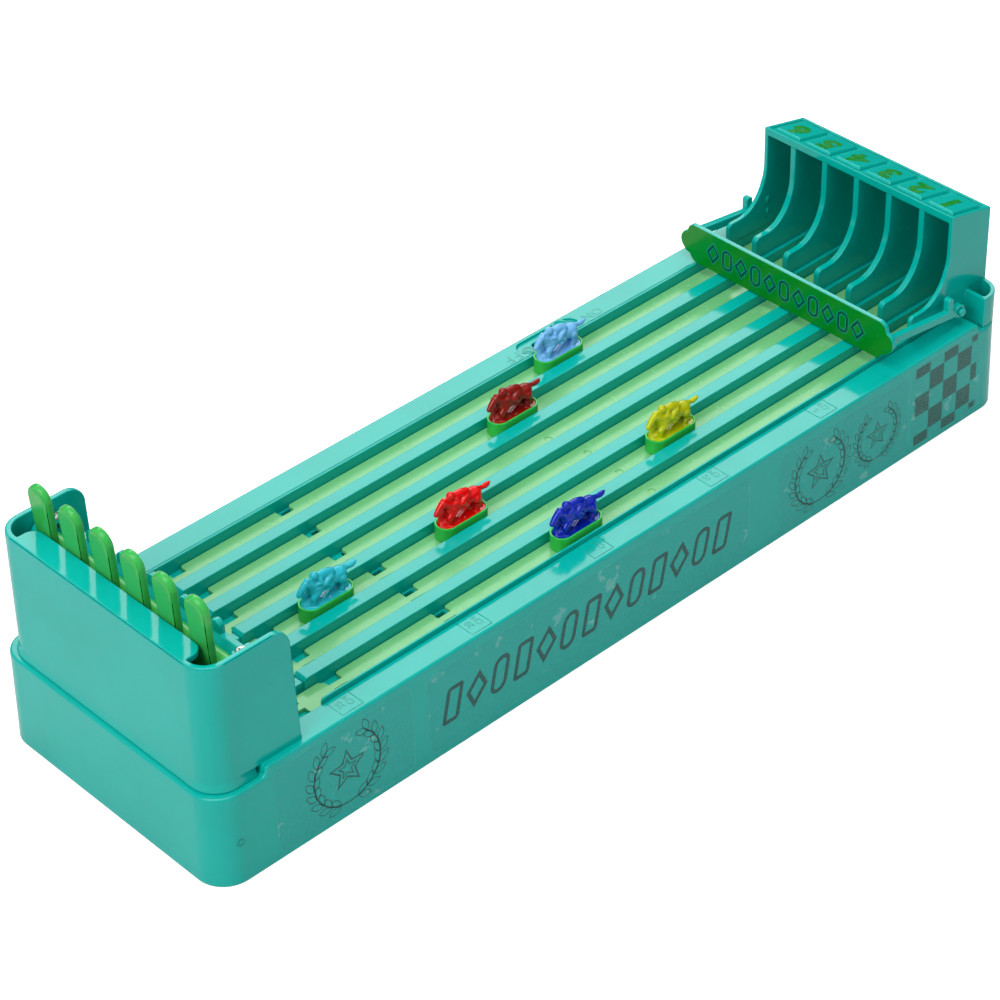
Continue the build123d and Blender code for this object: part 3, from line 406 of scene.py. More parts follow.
# ---------------------------------------------------------------- films on the near wall
# Four clear stickers on the near wall, printed in dark grey: a wreath, a band of outlined
# shapes, two more wreaths and a checkered flag. Some air is trapped under them.
FILM_LIFT = 0.02
PRINT_LIFT = 0.03
FILM_ROOT = 0.02                # how deep a film or print reaches into the wall
FILM_RIM = 0.22
FILM_CORNER = 2.5
FILM_FRONT = (22.0, 74.0, 1.8, 33.0)
FILM_MIDDLE = (80.0, 216.0, 2.3, 31.7)
FILM_REAR = (230.0, 292.0, 2.2, 31.7)
FLAG_START = 295.0
FLAG_COLUMNS = (7.0, 7.0, 7.0, 7.0, 2.9)        # the last one ends before the corner
FILM_FLAG = (293.4, 327.5, 1.8, 33.4)
FLAG_ROWS = (32.8, 28.9, 21.5, 13.8, 6.2, 2.3)


def wall_point(x, z, lift):
    """Point on the leaning near wall, x along the track and z up, lifted off it."""
    return (along(x), -(BASE_WIDTH / 2 - z * WALL_DRAFT + lift) * mm, z * mm)


def wall_piece(name, faces, lift, material):
    """Thin piece on the near wall from faces drawn in x and z."""
    mesh = bpy.data.meshes.new(name)
    corners, loops = [], []
    for face in faces:
        start = len(corners)
        for x, z in face:
            corners.append(wall_point(x, z, lift))
        loops.append(list(range(start, start + len(face))))
    mesh.from_pydata(corners, [], loops)
    form = bmesh.new()
    form.from_mesh(mesh)
    bmesh.ops.remove_doubles(form, verts=form.verts, dist=0.004 * mm)
    for face in form.faces:
        face.normal_update()
        if face.normal.y > 0:
            face.normal_flip()
    form.to_mesh(mesh)
    form.free()
    piece = in_scene(name, mesh)
    thick = piece.modifiers.new("thick", "SOLIDIFY")
    thick.thickness, thick.offset = (lift + FILM_ROOT) * mm, -1
    baked(piece)
    piece.data.materials.clear()
    piece.data.materials.append(material)
    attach(piece, "frame")


def rounded_corners(x0, x1, z0, z1, corner, steps=6):
    """Outline of a rectangle with round corners."""
    outline = []
    for cx, cz, start in ((x1 - corner, z1 - corner, 0), (x0 + corner, z1 - corner, 90),
                          (x0 + corner, z0 + corner, 180), (x1 - corner, z0 + corner, 270)):
        for k in range(steps + 1):
            a = radians(start + 90 * k / steps)
            outline.append((cx + corner * cos(a), cz + corner * sin(a)))
    return outline


def band(outer, inner):
    """Faces between two outlines with the same number of points."""
    n = len(outer)
    return [[outer[k], outer[(k + 1) % n], inner[(k + 1) % n], inner[k]] for k in range(n)]


def print_film(name, base, patch, patch_share, roughness):
    """Clear film over teal; air trapped under it shows as paler patches and specks."""
    paint = bpy.data.materials.new(name)
    paint.use_nodes = True
    tree = paint.node_tree
    skin = tree.nodes["Principled BSDF"]
    skin.inputs["IOR"].default_value = 1.36
    spot = tree.nodes.new("ShaderNodeTexCoord")
    air = noise(tree, spot, 95, 5)
    air.inputs["Roughness"].default_value = 0.62
    grain = noise(tree, spot, 1400, 2)
    tint = tree.nodes.new("ShaderNodeMix")
    tint.data_type = "RGBA"
    tree.links.new(between(tree, air.outputs["Fac"], patch_share, patch_share + 0.018, 0, 1),
                   tint.inputs[0])
    tint.inputs[6].default_value = (*base, 1)
    tint.inputs[7].default_value = (*patch, 1)
    shade = tree.nodes.new("ShaderNodeMix")
    shade.data_type, shade.blend_type = "RGBA", "MULTIPLY"
    shade.inputs[0].default_value = 1.0
    tree.links.new(tint.outputs[2], shade.inputs[6])
    tree.links.new(between(tree, grain.outputs["Fac"], 0.3, 0.7, 0.9, 1.08), shade.inputs[7])
    tree.links.new(shade.outputs[2], skin.inputs["Base Color"])
    bump = tree.nodes.new("ShaderNodeBump")
    bump.inputs["Strength"].default_value = 0.4
    bump.inputs["Distance"].default_value = 0.02 * mm
    tree.links.new(air.outputs["Fac"], bump.inputs["Height"])
    tree.links.new(bump.outputs["Normal"], skin.inputs["Normal"])
    tree.links.new(between(tree, grain.outputs["Fac"], 0.3, 0.7, roughness * 0.8, roughness * 1.2),
                   skin.inputs["Roughness"])
    return paint


film = print_film("clear_film", (0.008, 0.39, 0.34), (0.11, 0.47, 0.42), 0.625, 0.2)
# paler teal along each film's edge: painted highlight where the cut edge of the film catches the light
film_rim_highlight = print_film("film_rim_highlight", (0.035, 0.45, 0.40), (0.12, 0.5, 0.45), 0.6, 0.2)
ink = print_film("grey_print", (0.014, 0.10, 0.088), (0.05, 0.2, 0.18), 0.68, 0.3)

for name, (x0, x1, z0, z1) in (("film_front", FILM_FRONT), ("film_middle", FILM_MIDDLE),
                               ("film_rear", FILM_REAR), ("film_flag", FILM_FLAG)):
    outline = rounded_corners(x0, x1, z0, z1, FILM_CORNER)
    inner = rounded_corners(x0 + FILM_RIM, x1 - FILM_RIM, z0 + FILM_RIM, z1 - FILM_RIM,
                            FILM_CORNER - FILM_RIM)
    wall_piece(name, [outline], FILM_LIFT, film)
    # thin paler ring around each film: painted edge highlight
    wall_piece(name + "_rim", band(outline, inner), FILM_LIFT + 0.005, film_rim_highlight)


def shifted(points, x, z, turn=0.0, size=1.0, lean=0.0):
    """Outline turned, scaled, slanted and moved on the wall."""
    a = radians(turn)
    return [(x + size * (px * cos(a) - pz * sin(a)) + lean * size * (px * sin(a) + pz * cos(a)),
             z + size * (px * sin(a) + pz * cos(a))) for px, pz in points]


def leaf(length, width, steps=8):
    """Pointed leaf from the origin along x."""
    edge = [(length * k / steps, width / 2 * sin(pi * k / steps) ** 0.8) for k in range(1, steps)]
    return [(0, 0)] + edge + [(length, 0)] + [(x, -z) for x, z in reversed(edge)]


def inset(points, width):
    """Outline moved inwards by a width at every corner; clockwise points take a negative width."""
    moved = []
    for (ax, az), (bx, bz), (cx, cz) in zip(points[-1:] + points[:-1], points, points[1:] + points[:1]):
        before, after = Vector((bx - ax, bz - az)).normalized(), Vector((cx - bx, cz - bz)).normalized()
        turn = Vector((-before.y - after.y, before.x + after.x)) / 2
        step = turn * (width / max(turn.length_squared, 0.2))
        moved.append((bx + step.x, bz + step.y))
    return moved


def star(outer, inner, points=5):
    """Star with its first point up."""
    reaches = [outer, inner] * points
    return [(reach * cos(pi / 2 + pi * k / points), reach * sin(pi / 2 + pi * k / points))
            for k, reach in enumerate(reaches)]


STEM_INNER = 0.965              # inner edge of a wreath's stem, as a share of its radius


def wreath(x, z, radius):
    """Line drawing of a leafy wreath, open at the top, around a star."""
    lines = []
    leaf_length, leaf_width = radius * 0.42, radius * 0.2

    def ring(degrees, reach=1.0):
        """Point on the wreath's circle, degrees from its lowest point."""
        a = radians(degrees - 90)
        return x + radius * reach * cos(a), z + radius * reach * sin(a)

    for side in (-1, 1):
        for k in range(8):
            place = side * (14 + 17.5 * k)
            for lift in (-28, 28):
                turn = place - 90 + side * (90 + lift)
                base = ring(place)
                outer = shifted(leaf(leaf_length, leaf_width), *base, turn)
                inner = shifted(leaf(leaf_length - 0.9, leaf_width - 0.55),
                                base[0] + 0.45 * cos(radians(turn)),
                                base[1] + 0.45 * sin(radians(turn)), turn)
                lines += band(outer, inner)
        for t in range(0, 144, 9):
            start, end = side * t, side * (t + 9)
            lines.append([ring(start), ring(end), ring(end, STEM_INNER), ring(start, STEM_INNER)])
    for size, weight in ((0.58, 0.1), (0.3, 0.07)):
        outer = shifted(star(radius * size, radius * size * 0.45), x, z)
        inner = shifted(star(radius * (size - weight), radius * (size * 0.45 - weight * 0.55)), x, z)
        lines += band(outer, inner)
    return lines


wall_piece("print_front", wreath(48.5, 17.5, 12.6), PRINT_LIFT, ink)
wall_piece("print_rear", wreath(249.0, 16.8, 11.8) + wreath(276.5, 16.8, 9.5), PRINT_LIFT, ink)

# band of slanted outlined shapes at one scale: bars, lozenges and ovals in turn
SHAPES = 13
SHAPE_LINE = 1.45
SHAPE_HALF = 6.4
SHAPE_START = 89.5
SHAPE_PITCH = 9.5
shapes = []
for k in range(SHAPES):
    x = SHAPE_START + k * SHAPE_PITCH
    outline = ([(4.3, 0), (0, SHAPE_HALF), (-4.3, 0), (0, -SHAPE_HALF)] if k % 3 == 1 else
               rounded_corners(-3.3, 3.3, -SHAPE_HALF, SHAPE_HALF, 3.2 if k % 3 == 2 else 1.4, 6))
    outline = shifted(outline, x, 16.8, lean=0.24)
    shapes += band(outline, inset(outline, SHAPE_LINE))
wall_piece("print_middle", shapes, PRINT_LIFT, ink)

# round mark that the mould leaves near the front corner, its ring drawn in the darker teal of painted
# groove shade
MOULD_MARK = (9.0, 15.0, 1.3)
dot = [(MOULD_MARK[0] + MOULD_MARK[2] * cos(2 * pi * k / 24),
        MOULD_MARK[1] + MOULD_MARK[2] * sin(2 * pi * k / 24)) for k in range(24)]
wall_piece("mould_mark", band(dot, inset(dot, 0.4)), FILM_LIFT, groove_shade)

flag = []
for row_number, (top, low) in enumerate(zip(FLAG_ROWS, FLAG_ROWS[1:])):
    x = FLAG_START
    for column, width in enumerate(FLAG_COLUMNS):
        if width < FLAG_COLUMNS[0]:
            top, low = top - 0.6, low + 0.9
        if (row_number + column) % 2 == 0:
            flag.append([(x, low), (x + width, low), (x + width, top), (x, top)])
        x += width
flag_ink = print_film("flag_print", (0.016, 0.125, 0.105), (0.04, 0.19, 0.165), 0.62, 0.3)
wall_piece("print_flag", flag, PRINT_LIFT, flag_ink)

# ---------------------------------------------------------------- track
# Floor with slots for the lever feet, five dividers and two thin lips, moulded in the
# base's teal. The dividers' flat tops mirror the lamp.
for node in ("track_floor", "lane_dividers", "track_lips"):
    softened(node, teal, 0.22)

# ---------------------------------------------------------------- drive strips
# Six flat pale green strips, one in each lane, wide along the race and necked near the
# levers, which pull them to and fro. Stamped from softer, satin plastic.
strip_green = plastic("strip_plastic", (0.16, 0.50, 0.205), (0.145, 0.48, 0.19), roughness=0.2,
                      ripple_depth=0.006, cloud_scale=60)
for lane in range(1, 7):
    softened(f"drive_strip_{lane}", strip_green, 0.15)

# ---------------------------------------------------------------- lever box
# Tall U-shaped wall with a top shelf that the levers rest on, and inside it the sloped
# bracket that carries their axle. Teal mouldings held by two zinc plated screws.
softened("lever_housing", teal, 0.35, 3)
softened("lever_bracket", teal, 0.25)


def metal(name, colour, roughness):
    """Zinc plated steel with fine turning marks."""
    paint = bpy.data.materials.new(name)
    paint.use_nodes = True
    tree = paint.node_tree
    skin = tree.nodes["Principled BSDF"]
    spot = tree.nodes.new("ShaderNodeTexCoord")
    marks = noise(tree, spot, 1800, 3)
    tint = tree.nodes.new("ShaderNodeMix")
    tint.data_type = "RGBA"
    tree.links.new(marks.outputs["Fac"], tint.inputs[0])
    tint.inputs[6].default_value = (*colour, 1)
    tint.inputs[7].default_value = (*[c * 0.8 for c in colour], 1)
    tree.links.new(tint.outputs[2], skin.inputs["Base Color"])
    tree.links.new(between(tree, marks.outputs["Fac"], 0.3, 0.7, roughness * 0.7, roughness * 1.3),
                   skin.inputs["Roughness"])
    skin.inputs["Metallic"].default_value = 1.0
    return paint


steel = metal("zinc_steel", (0.5, 0.48, 0.45), 0.34)
softened("lever_axle", steel, 0.1)


CROSS_ARM = (2.6, 0.55, 1.1)    # length, width and height of one cut
CROSS_TURN = 20
SCREW_APART = 8.0               # points farther apart belong to two screws


def screws(node, upwards=True):
    """Finished screws with a cross recess cut in each head."""
    piece = softened(node, steel, 0.12)
    low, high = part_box(node)
    z = high.z if upwards else low.z
    groups = []
    for v in frame["nodes"][node].data.vertices:
        near = [group for group in groups if (v.co.xy - group[0]).length < SCREW_APART * mm]
        if near:
            near[0].append(v.co.xy)
        else:
            groups.append([v.co.xy])
    cutter = bmesh.new()
    for group in groups:
        x, y = ((min(p[axis] for p in group) + max(p[axis] for p in group)) / 2 for axis in (0, 1))
        for turn in (0, 90):
            spin = Matrix.Translation((x, y, z)) @ Matrix.Rotation(radians(turn + CROSS_TURN), 4, "Z")
            size = Matrix.Diagonal((*(side * mm for side in CROSS_ARM), 1))
            bmesh.ops.create_cube(cutter, size=1.0, matrix=spin @ size)
    mesh = bpy.data.meshes.new("cross")
    cutter.to_mesh(mesh)
    cutter.free()
    cross = in_scene("cross", mesh)
    cut = piece.modifiers.new("cross", "BOOLEAN")
    cut.object, cut.operation, cut.solver = cross, "DIFFERENCE", "EXACT"
    cut.use_self = True
    baked(piece)
    bpy.data.objects.remove(cross)


screws("bracket_screws")

# ---------------------------------------------------------------- levers
# Six green finger levers on the axle, each a rounded blade with a hub and a long arm
# below that reaches down into its strip.
lever_green = plastic("lever_plastic", (0.045, 0.44, 0.085), (0.035, 0.41, 0.07), roughness=0.13)
BLADE_LEAN = radians(4.3)
BLADE_CUT = 1.7                 # how much lower the blades' tops end than packed
BLADE_BEND = (78.0, 10.0)       # height where that starts, and over how much it grows


def blade_lowered(form):
    """Lower a blade's round top without changing its roundness."""
    for v in form.verts:
        share = min(max((v.co.z / mm - BLADE_BEND[0]) / BLADE_BEND[1], 0), 1)
        v.co.z -= BLADE_CUT * share * mm
        v.co.x += BLADE_CUT * share * tan(BLADE_LEAN) * mm


for lane in range(1, 7):
    softened(f"lever_{lane}", lever_green, 0.6, 3, blade_lowered)

# ---------------------------------------------------------------- horse carriers
# Green stadium-shaped tubs that slide in the lanes, each with a glossy horse and rider
# pressed into its top, one colour a horse. Small toy castings with soft detail.
tub_green = plastic("tub_plastic", (0.03, 0.50, 0.07), (0.022, 0.45, 0.055), roughness=0.12)
HORSES = {
    "dark_blue": ((0.002, 0.020, 0.43), "blue"), "yellow": ((0.50, 0.55, 0.0), "yellow"),
    "cyan": ((0.02, 0.54, 0.66), "cyan"), "red": ((0.80, 0.003, 0.003), "red"),
    "maroon": ((0.29, 0.008, 0.005), "maroon"), "light_blue": ((0.17, 0.47, 0.85), "light_blue"),
}

# limbs as runs of balls: x, y, z and radius in mm, from the middle of the plate's top
HORSE_LIMBS = [
    # trunk, rump to chest
    [(5.6, 0, 6.2, 2.35), (2.0, 0, 5.9, 2.2), (-1.4, 0, 5.8, 2.25), (-4.0, 0, 6.0, 2.3)],
    # neck, poll, nose, mane
    [(-4.6, 0, 7.2, 1.9), (-6.2, 0, 8.7, 1.45), (-7.4, 0, 9.2, 1.15), (-8.7, 0, 7.9, 1.05),
     (-10.0, 0, 6.3, 0.85)],
    [(-3.2, 0, 8.4, 0.9), (-5.2, 0, 9.9, 0.75), (-6.8, 0, 10.2, 0.65)],
    [(-7.0, 0.6, 9.9, 0.5), (-6.8, 0.7, 10.7, 0.25)],
    [(-7.0, -0.6, 9.9, 0.5), (-6.8, -0.7, 10.7, 0.25)],
    # rider: back, helmet and its peak
    [(2.2, 0, 8.6, 1.55), (-0.2, 0, 9.4, 1.55), (-2.6, 0, 9.6, 1.35)],
    [(-3.4, 0, 10.3, 1.1), (-4.0, 0, 10.6, 1.4)],
    [(-4.4, 0, 10.4, 1.0), (-5.6, 0, 10.1, 0.45)],
    # tail, spreading into a leaf shape
    [(7.0, 0, 7.2, 0.9), (8.8, 0, 6.7, 0.75), (10.2, 0, 6.7, 0.95), (11.2, 0, 6.9, 0.8),
     (12.1, 0, 7.3, 0.3)],
    # mound under the fore legs, bank under the hind legs, ridge across the plate
    [(-7.2, 0.5, 0.2, 1.5), (-5.4, 0.2, 0.7, 1.9), (-3.6, -0.4, 0.5, 1.5), (-2.2, -0.9, 0.2, 0.9)],
    [(3.4, 0.8, 0.2, 0.9), (5.6, 0.6, 0.5, 1.4), (7.2, -0.4, 0.3, 1.1)],
    [(-2.8, -1.4, 0.2, 0.8), (1.0, 0.2, 0.3, 0.7), (5.6, 1.5, 0.2, 0.9)],
]
HORSE_SQUAT = 0.92              # share of the height above the plate that the casting keeps
for side in (-1, 1):
    lead = 1.0 if side > 0 else 0.0
    HORSE_LIMBS += [
        # rider's arm and leg
        [(-2.6, 1.2 * side, 9.2, 0.8), (-2.4, 1.8 * side, 8.0, 0.65), (-5.0, 1.0 * side, 7.9, 0.6)],
        [(1.2, 1.3 * side, 8.2, 1.1), (-1.6, 2.1 * side, 7.2, 0.95), (0.8, 2.2 * side, 5.5, 0.75),
         (-0.6, 2.3 * side, 4.8, 0.6)],
        # fore leg and hind leg, the far ones stretched further
        [(-4.0, 1.2 * side, 4.9, 1.45), (-5.7 - lead, 1.3 * side, 3.3 + lead * 0.4, 1.05),
         (-5.6 - 1.6 * lead, 1.3 * side, 1.6, 0.95), (-5.4 - 2.0 * lead, 1.3 * side, 0.3, 1.0)],
        [(5.2, 1.3 * side, 5.2, 1.75), (6.4 + lead, 1.4 * side, 3.3, 1.1),
         (5.2 + 1.4 * lead, 1.4 * side, 1.6, 0.9), (4.8 + 2.2 * lead, 1.4 * side, 0.4, 0.95)],
    ]


def ball_run(form, run):
    """Closed balls joined by tapered rods."""
    run = [(x, y, z * HORSE_SQUAT, radius) for x, y, z, radius in run]
    for x, y, z, radius in run:
        bmesh.ops.create_icosphere(form, subdivisions=3, radius=radius,
                                   matrix=Matrix.Translation((x, y, z)))
    for (xa, ya, za, ra), (xb, yb, zb, rb) in zip(run, run[1:]):
        start, end = Vector((xa, ya, za)), Vector((xb, yb, zb))
        turn = (end - start).to_track_quat("Z", "Y").to_matrix().to_4x4()
        bmesh.ops.create_cone(form, cap_ends=True, segments=24, radius1=ra, radius2=rb,
                              depth=(end - start).length,
                              matrix=Matrix.Translation((start + end) / 2) @ turn)


PLATE_LENGTH = 17.9
PLATE_WIDTH = 6.3
PLATE_THICK = 0.9
PLATE_CROWN = 0.45              # its top, a little under the rim of the tub
PLATE_POINTS = 48
cast = bmesh.new()
for limb in HORSE_LIMBS:
    ball_run(cast, limb)
plate_outline = []
for k in range(PLATE_POINTS):
    a = 2 * pi * k / PLATE_POINTS
    reach = (PLATE_LENGTH - PLATE_WIDTH) / 2 * (1 if cos(a) >= 0 else -1)
    plate_outline.append((reach + PLATE_WIDTH / 2 * cos(a), PLATE_WIDTH / 2 * sin(a)))
low_ring = [cast.verts.new((x, y, -PLATE_THICK)) for x, y in plate_outline]
high_ring = [cast.verts.new((x, y, PLATE_CROWN)) for x, y in plate_outline]
cast.faces.new(list(reversed(low_ring)))
cast.faces.new(high_ring)
for k in range(PLATE_POINTS):
    n = (k + 1) % PLATE_POINTS
    cast.faces.new((low_ring[k], low_ring[n], high_ring[n], high_ring[k]))
horse_mesh = bpy.data.meshes.new("horse_casting")
cast.to_mesh(horse_mesh)
cast.free()
horse = in_scene("horse_casting", horse_mesh)
fuse = horse.modifiers.new("fuse", "REMESH")
fuse.mode, fuse.voxel_size = "VOXEL", 0.2
melt = horse.modifiers.new("melt", "SMOOTH")
melt.factor, melt.iterations = 0.5, 4
baked(horse)
horse_mesh = horse.data
bpy.data.objects.remove(horse)
for face in horse_mesh.polygons:
    face.use_smooth = True

for name, (shade, slot) in HORSES.items():
    softened(f"horse_tub_{name}", tub_green, 0.22)
    low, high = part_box(f"horse_tub_{name}")
    plate_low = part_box(f"horse_figure_{name}")[0].z
    mesh = horse_mesh.copy()
    mesh.transform(Matrix.Translation(((low.x + high.x) / 2, (low.y + high.y) / 2,
                                       plate_low + PLATE_THICK * mm)) @ Matrix.Scale(mm, 4))
    casting = plastic(f"horse_{name}_plastic", shade, tuple(c * 0.8 for c in shade), roughness=0.07,
                      coat=0.15)
    figure = in_scene(f"horse_and_rider_{name}", mesh, casting)
    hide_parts(f"horse_figure_{name}")
    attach(figure, f"horse_{name}")

# ---------------------------------------------------------------- starting gate
# Tall housing over the far end of the track: six stalls between swept walls under a
# sloping roof with a numbered plate over each. Screwed down through two rear pockets.
SWEEP_MIDDLE = (307.0, 62.0)    # middle of the quarter ellipse in the walls' front edge
SWEEP_REACH = (12.7, 16.7)
EDGE_FOOT = (305.4, 44.3)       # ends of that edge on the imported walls
EDGE_HEAD = (319.7, 65.8)
TOE_LOW = 42.2                  # where the rounded corner of a toe starts


def swept(form):
    """Give the stall walls one smooth sweep and slightly taller toes."""
    for v in form.verts:
        x, z = v.co.x / mm + BASE_LENGTH / 2, v.co.z / mm
        if TOE_LOW < z < EDGE_FOOT[1] + 0.05 and x < EDGE_FOOT[0] - 0.05:
            v.co.z += (SWEEP_MIDDLE[1] - SWEEP_REACH[1] - EDGE_FOOT[1]) * mm
        elif (EDGE_FOOT[1] - 0.05 < z < EDGE_HEAD[1] + 0.05
              and EDGE_FOOT[0] - 0.1 < x < EDGE_HEAD[0] + 0.05):
            share = ((x - EDGE_FOOT[0]) / (EDGE_HEAD[0] - EDGE_FOOT[0])
                     + (z - EDGE_FOOT[1]) / (EDGE_HEAD[1] - EDGE_FOOT[1])) / 2
            turn = pi / 2 * (1 - min(max(share, 0), 1))
            v.co.x = along(SWEEP_MIDDLE[0] + SWEEP_REACH[0] * cos(turn))
            v.co.z = (SWEEP_MIDDLE[1] - SWEEP_REACH[1] * sin(turn)) * mm


softened("gate_housing", teal, 0.35, 3, swept)

# two small bosses inside the far wall, beside the bar's pin
BOSS_PLACE = (320.6, 39.6)
for name, z, radius in (("wall_boss_upper", 47.6, 1.1), ("wall_boss_lower", 42.8, 0.9)):
    place = Matrix.Translation((along(BOSS_PLACE[0]), BOSS_PLACE[1] * mm, z * mm))
    knob = bmesh.new()
    bmesh.ops.create_icosphere(knob, subdivisions=3, radius=radius * mm,
                               matrix=place @ Matrix.Diagonal((1, 0.6, 1.3, 1)))
    mesh = bpy.data.meshes.new(name)
    knob.to_mesh(mesh)
    knob.free()
    boss = in_scene(name, mesh, teal)
    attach(boss, "frame")
softened("gate_dividers", teal, 0.25, 2, swept)
softened("number_plates", teal, 0.3, 3)
screws("pocket_screws")
digit_green = plastic("digit_paint", (0.0, 0.255, 0.02), (0.0, 0.23, 0.015), roughness=0.25)
ROOF_SLOPE = radians(13.0)
ROOF_UP = (-cos(ROOF_SLOPE), 0, sin(ROOF_SLOPE))
ROOF_OUT = Vector((sin(ROOF_SLOPE), 0, cos(ROOF_SLOPE)))
PLATE_PITCH = 13.233
ROOF_MIDDLE = Vector((along(329.45), 0, 72.75 * mm))
PLATE_RAISE = 1.0
DIGIT_HEIGHT = 8.0
DIGIT_WEIGHT = 0.62
DIGIT_SHIFT = 0.9               # digits sit a little towards the front of their plates
for lane in range(1, 7):
    middle = (ROOF_MIDDLE + ROOF_OUT * (PLATE_RAISE * mm) + Vector(ROOF_UP) * (DIGIT_SHIFT * mm)
              + Vector((0, (lane - 3.5) * PLATE_PITCH * mm, 0)))
    lettering(f"digit_{lane}", str(lane), DIGIT_HEIGHT, middle, (0, 1, 0), ROOF_UP, digit_green,
              "frame", depth=0.12, weight=DIGIT_WEIGHT)

# ---------------------------------------------------------------- gate bar
# Board with scalloped ends in front of the stalls, on two arms that swing up on pins in
# the gate's side walls. A green panel with a row of shapes covers its front.
BAR_FRONT = 285.7
BAR_REAR = 287.5
BAR_LOW = 37.65
BAR_HIGH = 52.0
PIN_PLACE = (321.0, 41.2)
PIN_SHAFT = 1.5                 # what lies farther out than this is a pin's head
PIN_SHRINK = 0.68               # heads of the pins, smaller than packed
ARM_CUT = 0.05                  # where the arms are cut off, behind the board
ARM_SEAT = 0.3                  # how deep they sit in it
PANEL_SINK = 0.03               # how far the board's face lies behind the panel's
PANEL_MARGIN = 0.12             # how far the panel ends inside the board's outline
PANEL_THICK = 0.2


def arc_through(a, m, b, steps=6):
    """Points of the circle arc from a over m to b, without b."""
    a, m, b = Vector(a), Vector(m), Vector(b)
    to_m, to_b = m - a, b - a
    p, q = to_m.length_squared, to_b.length_squared
    centre = a + Vector((to_b.y * p - to_m.y * q, to_m.x * q - to_b.x * p)) / (2 * to_m.cross(to_b))
    start, end = a - centre, b - centre
    turn = start.angle_signed(end)
    if to_m.cross(b - m) * turn > 0:
        turn = -turn
    spins = (Matrix.Rotation(-turn * k / steps, 2) for k in range(steps))
    return [tuple(centre + spin @ start) for spin in spins]


# outline of the board's right half: shoulder, notch, round end, notch, bottom corner
half = (arc_through((40.4, BAR_HIGH), (42.9, BAR_HIGH - 0.9), (43.7, 49.8))
        + arc_through((43.7, 49.8), (44.0, 48.7), (45.0, 48.2))
        + arc_through((45.0, 48.2), (46.9, 45.0), (45.4, 41.7), 10)
        + arc_through((45.4, 41.7), (44.5, 40.7), (42.7, 40.3))
        + arc_through((42.7, 40.3), (41.6, 38.6), (39.8, BAR_LOW)) + [(39.8, BAR_LOW)])
board = half + [(-y, z) for y, z in reversed(half)]


def plate(form, outline, front, rear):
    """Closed plate across the track between two distances; its outline in y and z is clockwise."""
    rings = [[form.verts.new((along(x), y * mm, z * mm)) for y, z in outline] for x in (front, rear)]
    form.faces.new(rings[0])
    form.faces.new(list(reversed(rings[1])))
    for k in range(len(outline)):
        n = (k + 1) % len(outline)
        form.faces.new((rings[0][n], rings[0][k], rings[1][k], rings[1][n]))


def board_reshaped(form):
    """Keep the two arms and put the board with its notched ends in front of them."""
    cut = bmesh.ops.bisect_plane(form, geom=form.verts[:] + form.edges[:] + form.faces[:],
                                 plane_co=(along(BAR_REAR + ARM_CUT), 0, 0), plane_no=(-1, 0, 0),
                                 clear_outer=True)
    rims = [e for e in cut["geom_cut"] if isinstance(e, bmesh.types.BMEdge)]
    bmesh.ops.holes_fill(form, edges=rims, sides=0)
    for v in form.verts:
        if v.co.x < along(BAR_REAR + 2 * ARM_CUT):
            v.co.x = along(BAR_REAR - ARM_SEAT)
    plate(form, board, BAR_FRONT + PANEL_SINK, BAR_REAR)


def heads_shrunk(form):
    """Smaller heads on the two pins."""
    for v in form.verts:
        x, z = v.co.x - along(PIN_PLACE[0]), v.co.z - PIN_PLACE[1] * mm
        if (x * x + z * z) ** 0.5 > PIN_SHAFT * mm:
            v.co.x = along(PIN_PLACE[0]) + x * PIN_SHRINK
            v.co.z = PIN_PLACE[1] * mm + z * PIN_SHRINK


softened("gate_bar", teal, 0.3, 3, board_reshaped)
softened("gate_pins", teal, 0.12, 2, heads_shrunk)
panel_green = plastic("panel_print", (0.0, 0.255, 0.012), (0.0, 0.23, 0.01), roughness=0.2)
film_form = bmesh.new()
plate(film_form, inset(board, -PANEL_MARGIN), BAR_FRONT, BAR_FRONT + PANEL_THICK)
film_mesh = bpy.data.meshes.new("panel_film")
film_form.to_mesh(film_mesh)
film_form.free()
panel_film = in_scene("panel_film", film_mesh, panel_green)
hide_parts("sign_face")
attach(panel_film, "gate_bar")

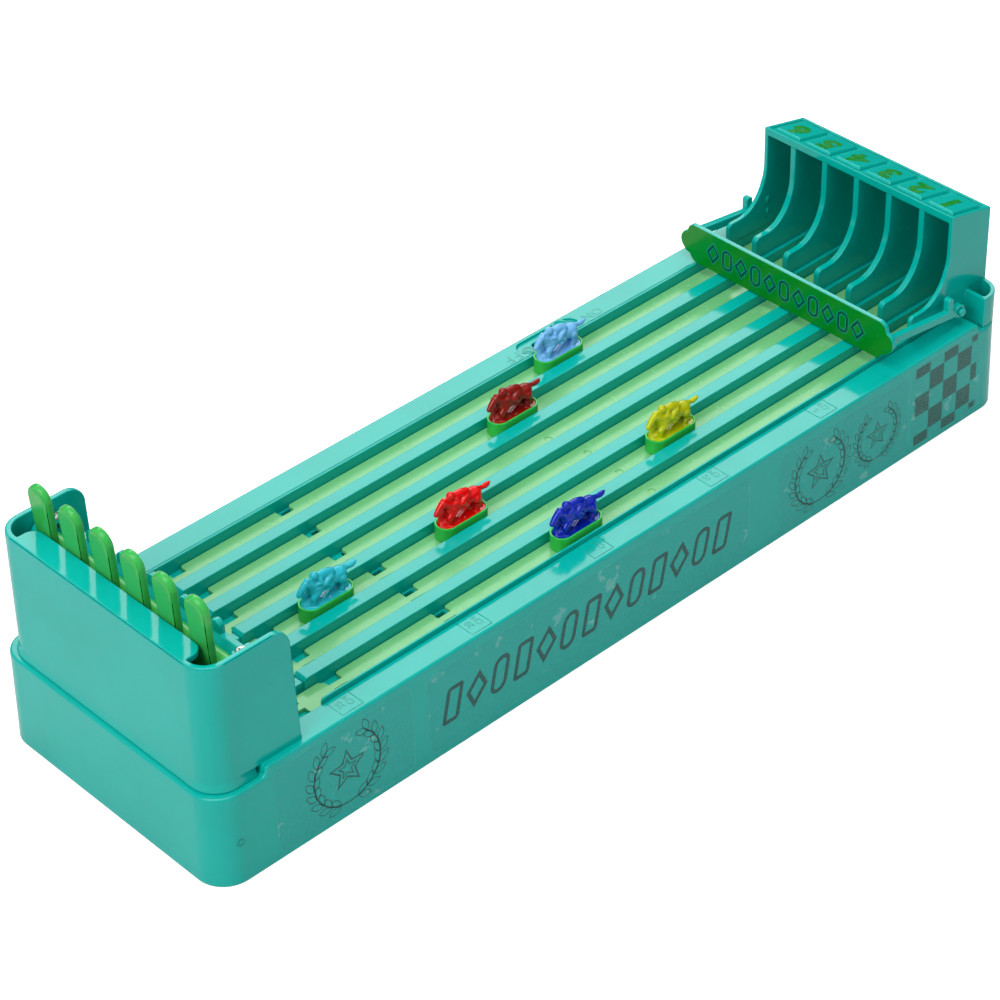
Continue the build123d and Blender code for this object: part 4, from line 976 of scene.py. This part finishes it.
# row of outlined shapes on the panel, dark lines with a teal edge
MOTIFS = 11
MOTIF_PITCH = 6.4
MOTIF_HALF = 3.9
MOTIF_MIDDLE = 44.6
motif_dark = plastic("motif_dark", (0.0, 0.055, 0.035), (0.0, 0.07, 0.045), roughness=0.3)
motif_teal = plastic("motif_teal", (0.01, 0.36, 0.27), (0.005, 0.33, 0.25), roughness=0.3)


def panel_piece(name, faces, lift, material):
    """Thin piece on the front of the board from faces drawn across it and up."""
    sheet = bmesh.new()
    front_x = along(BAR_FRONT)
    for face in faces:
        front = [sheet.verts.new((front_x - lift * mm, y * mm, z * mm)) for y, z in face]
        back = [sheet.verts.new((front_x + 0.05 * mm, y * mm, z * mm)) for y, z in face]
        sheet.faces.new(front)
        sheet.faces.new(list(reversed(back)))
        for k in range(len(face)):
            n = (k + 1) % len(face)
            sheet.faces.new((front[n], front[k], back[k], back[n]))
    bmesh.ops.recalc_face_normals(sheet, faces=sheet.faces)
    mesh = bpy.data.meshes.new(name)
    sheet.to_mesh(mesh)
    sheet.free()
    piece = in_scene(name, mesh, material)
    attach(piece, "gate_bar")


dark_lines, teal_lines = [], []
for k in range(MOTIFS):
    y = (k - (MOTIFS - 1) / 2) * MOTIF_PITCH
    shape = (rounded_corners(-2.3, 2.3, -MOTIF_HALF, MOTIF_HALF, 2.2, 5) if k % 2 else
             [(2.9, 0), (0, MOTIF_HALF), (-2.9, 0), (0, -MOTIF_HALF)])
    shape = shifted(shape, y, MOTIF_MIDDLE)
    teal_lines += band(inset(shape, -0.3), inset(shape, 1.2))
    dark_lines += band(shape, inset(shape, 0.85))
panel_piece("panel_motif_edge", teal_lines, 0.02, motif_teal)
panel_piece("panel_motif", dark_lines, 0.04, motif_dark)

# ---------------------------------------------------------------- switch and underside
# Round knob of the sliding switch on the far rail, and under the base the screwed
# cover with its battery door. All teal mouldings.
softened("switch_knob", teal, 0.25)
teal_under = plastic("teal_satin", TEAL, TEAL_DEEP, roughness=0.3, ripple_depth=0.12)
softened("bottom_cover", teal_under, 0.2)
softened("battery_door", teal_under, 0.2)
screws("cover_screws", upwards=False)
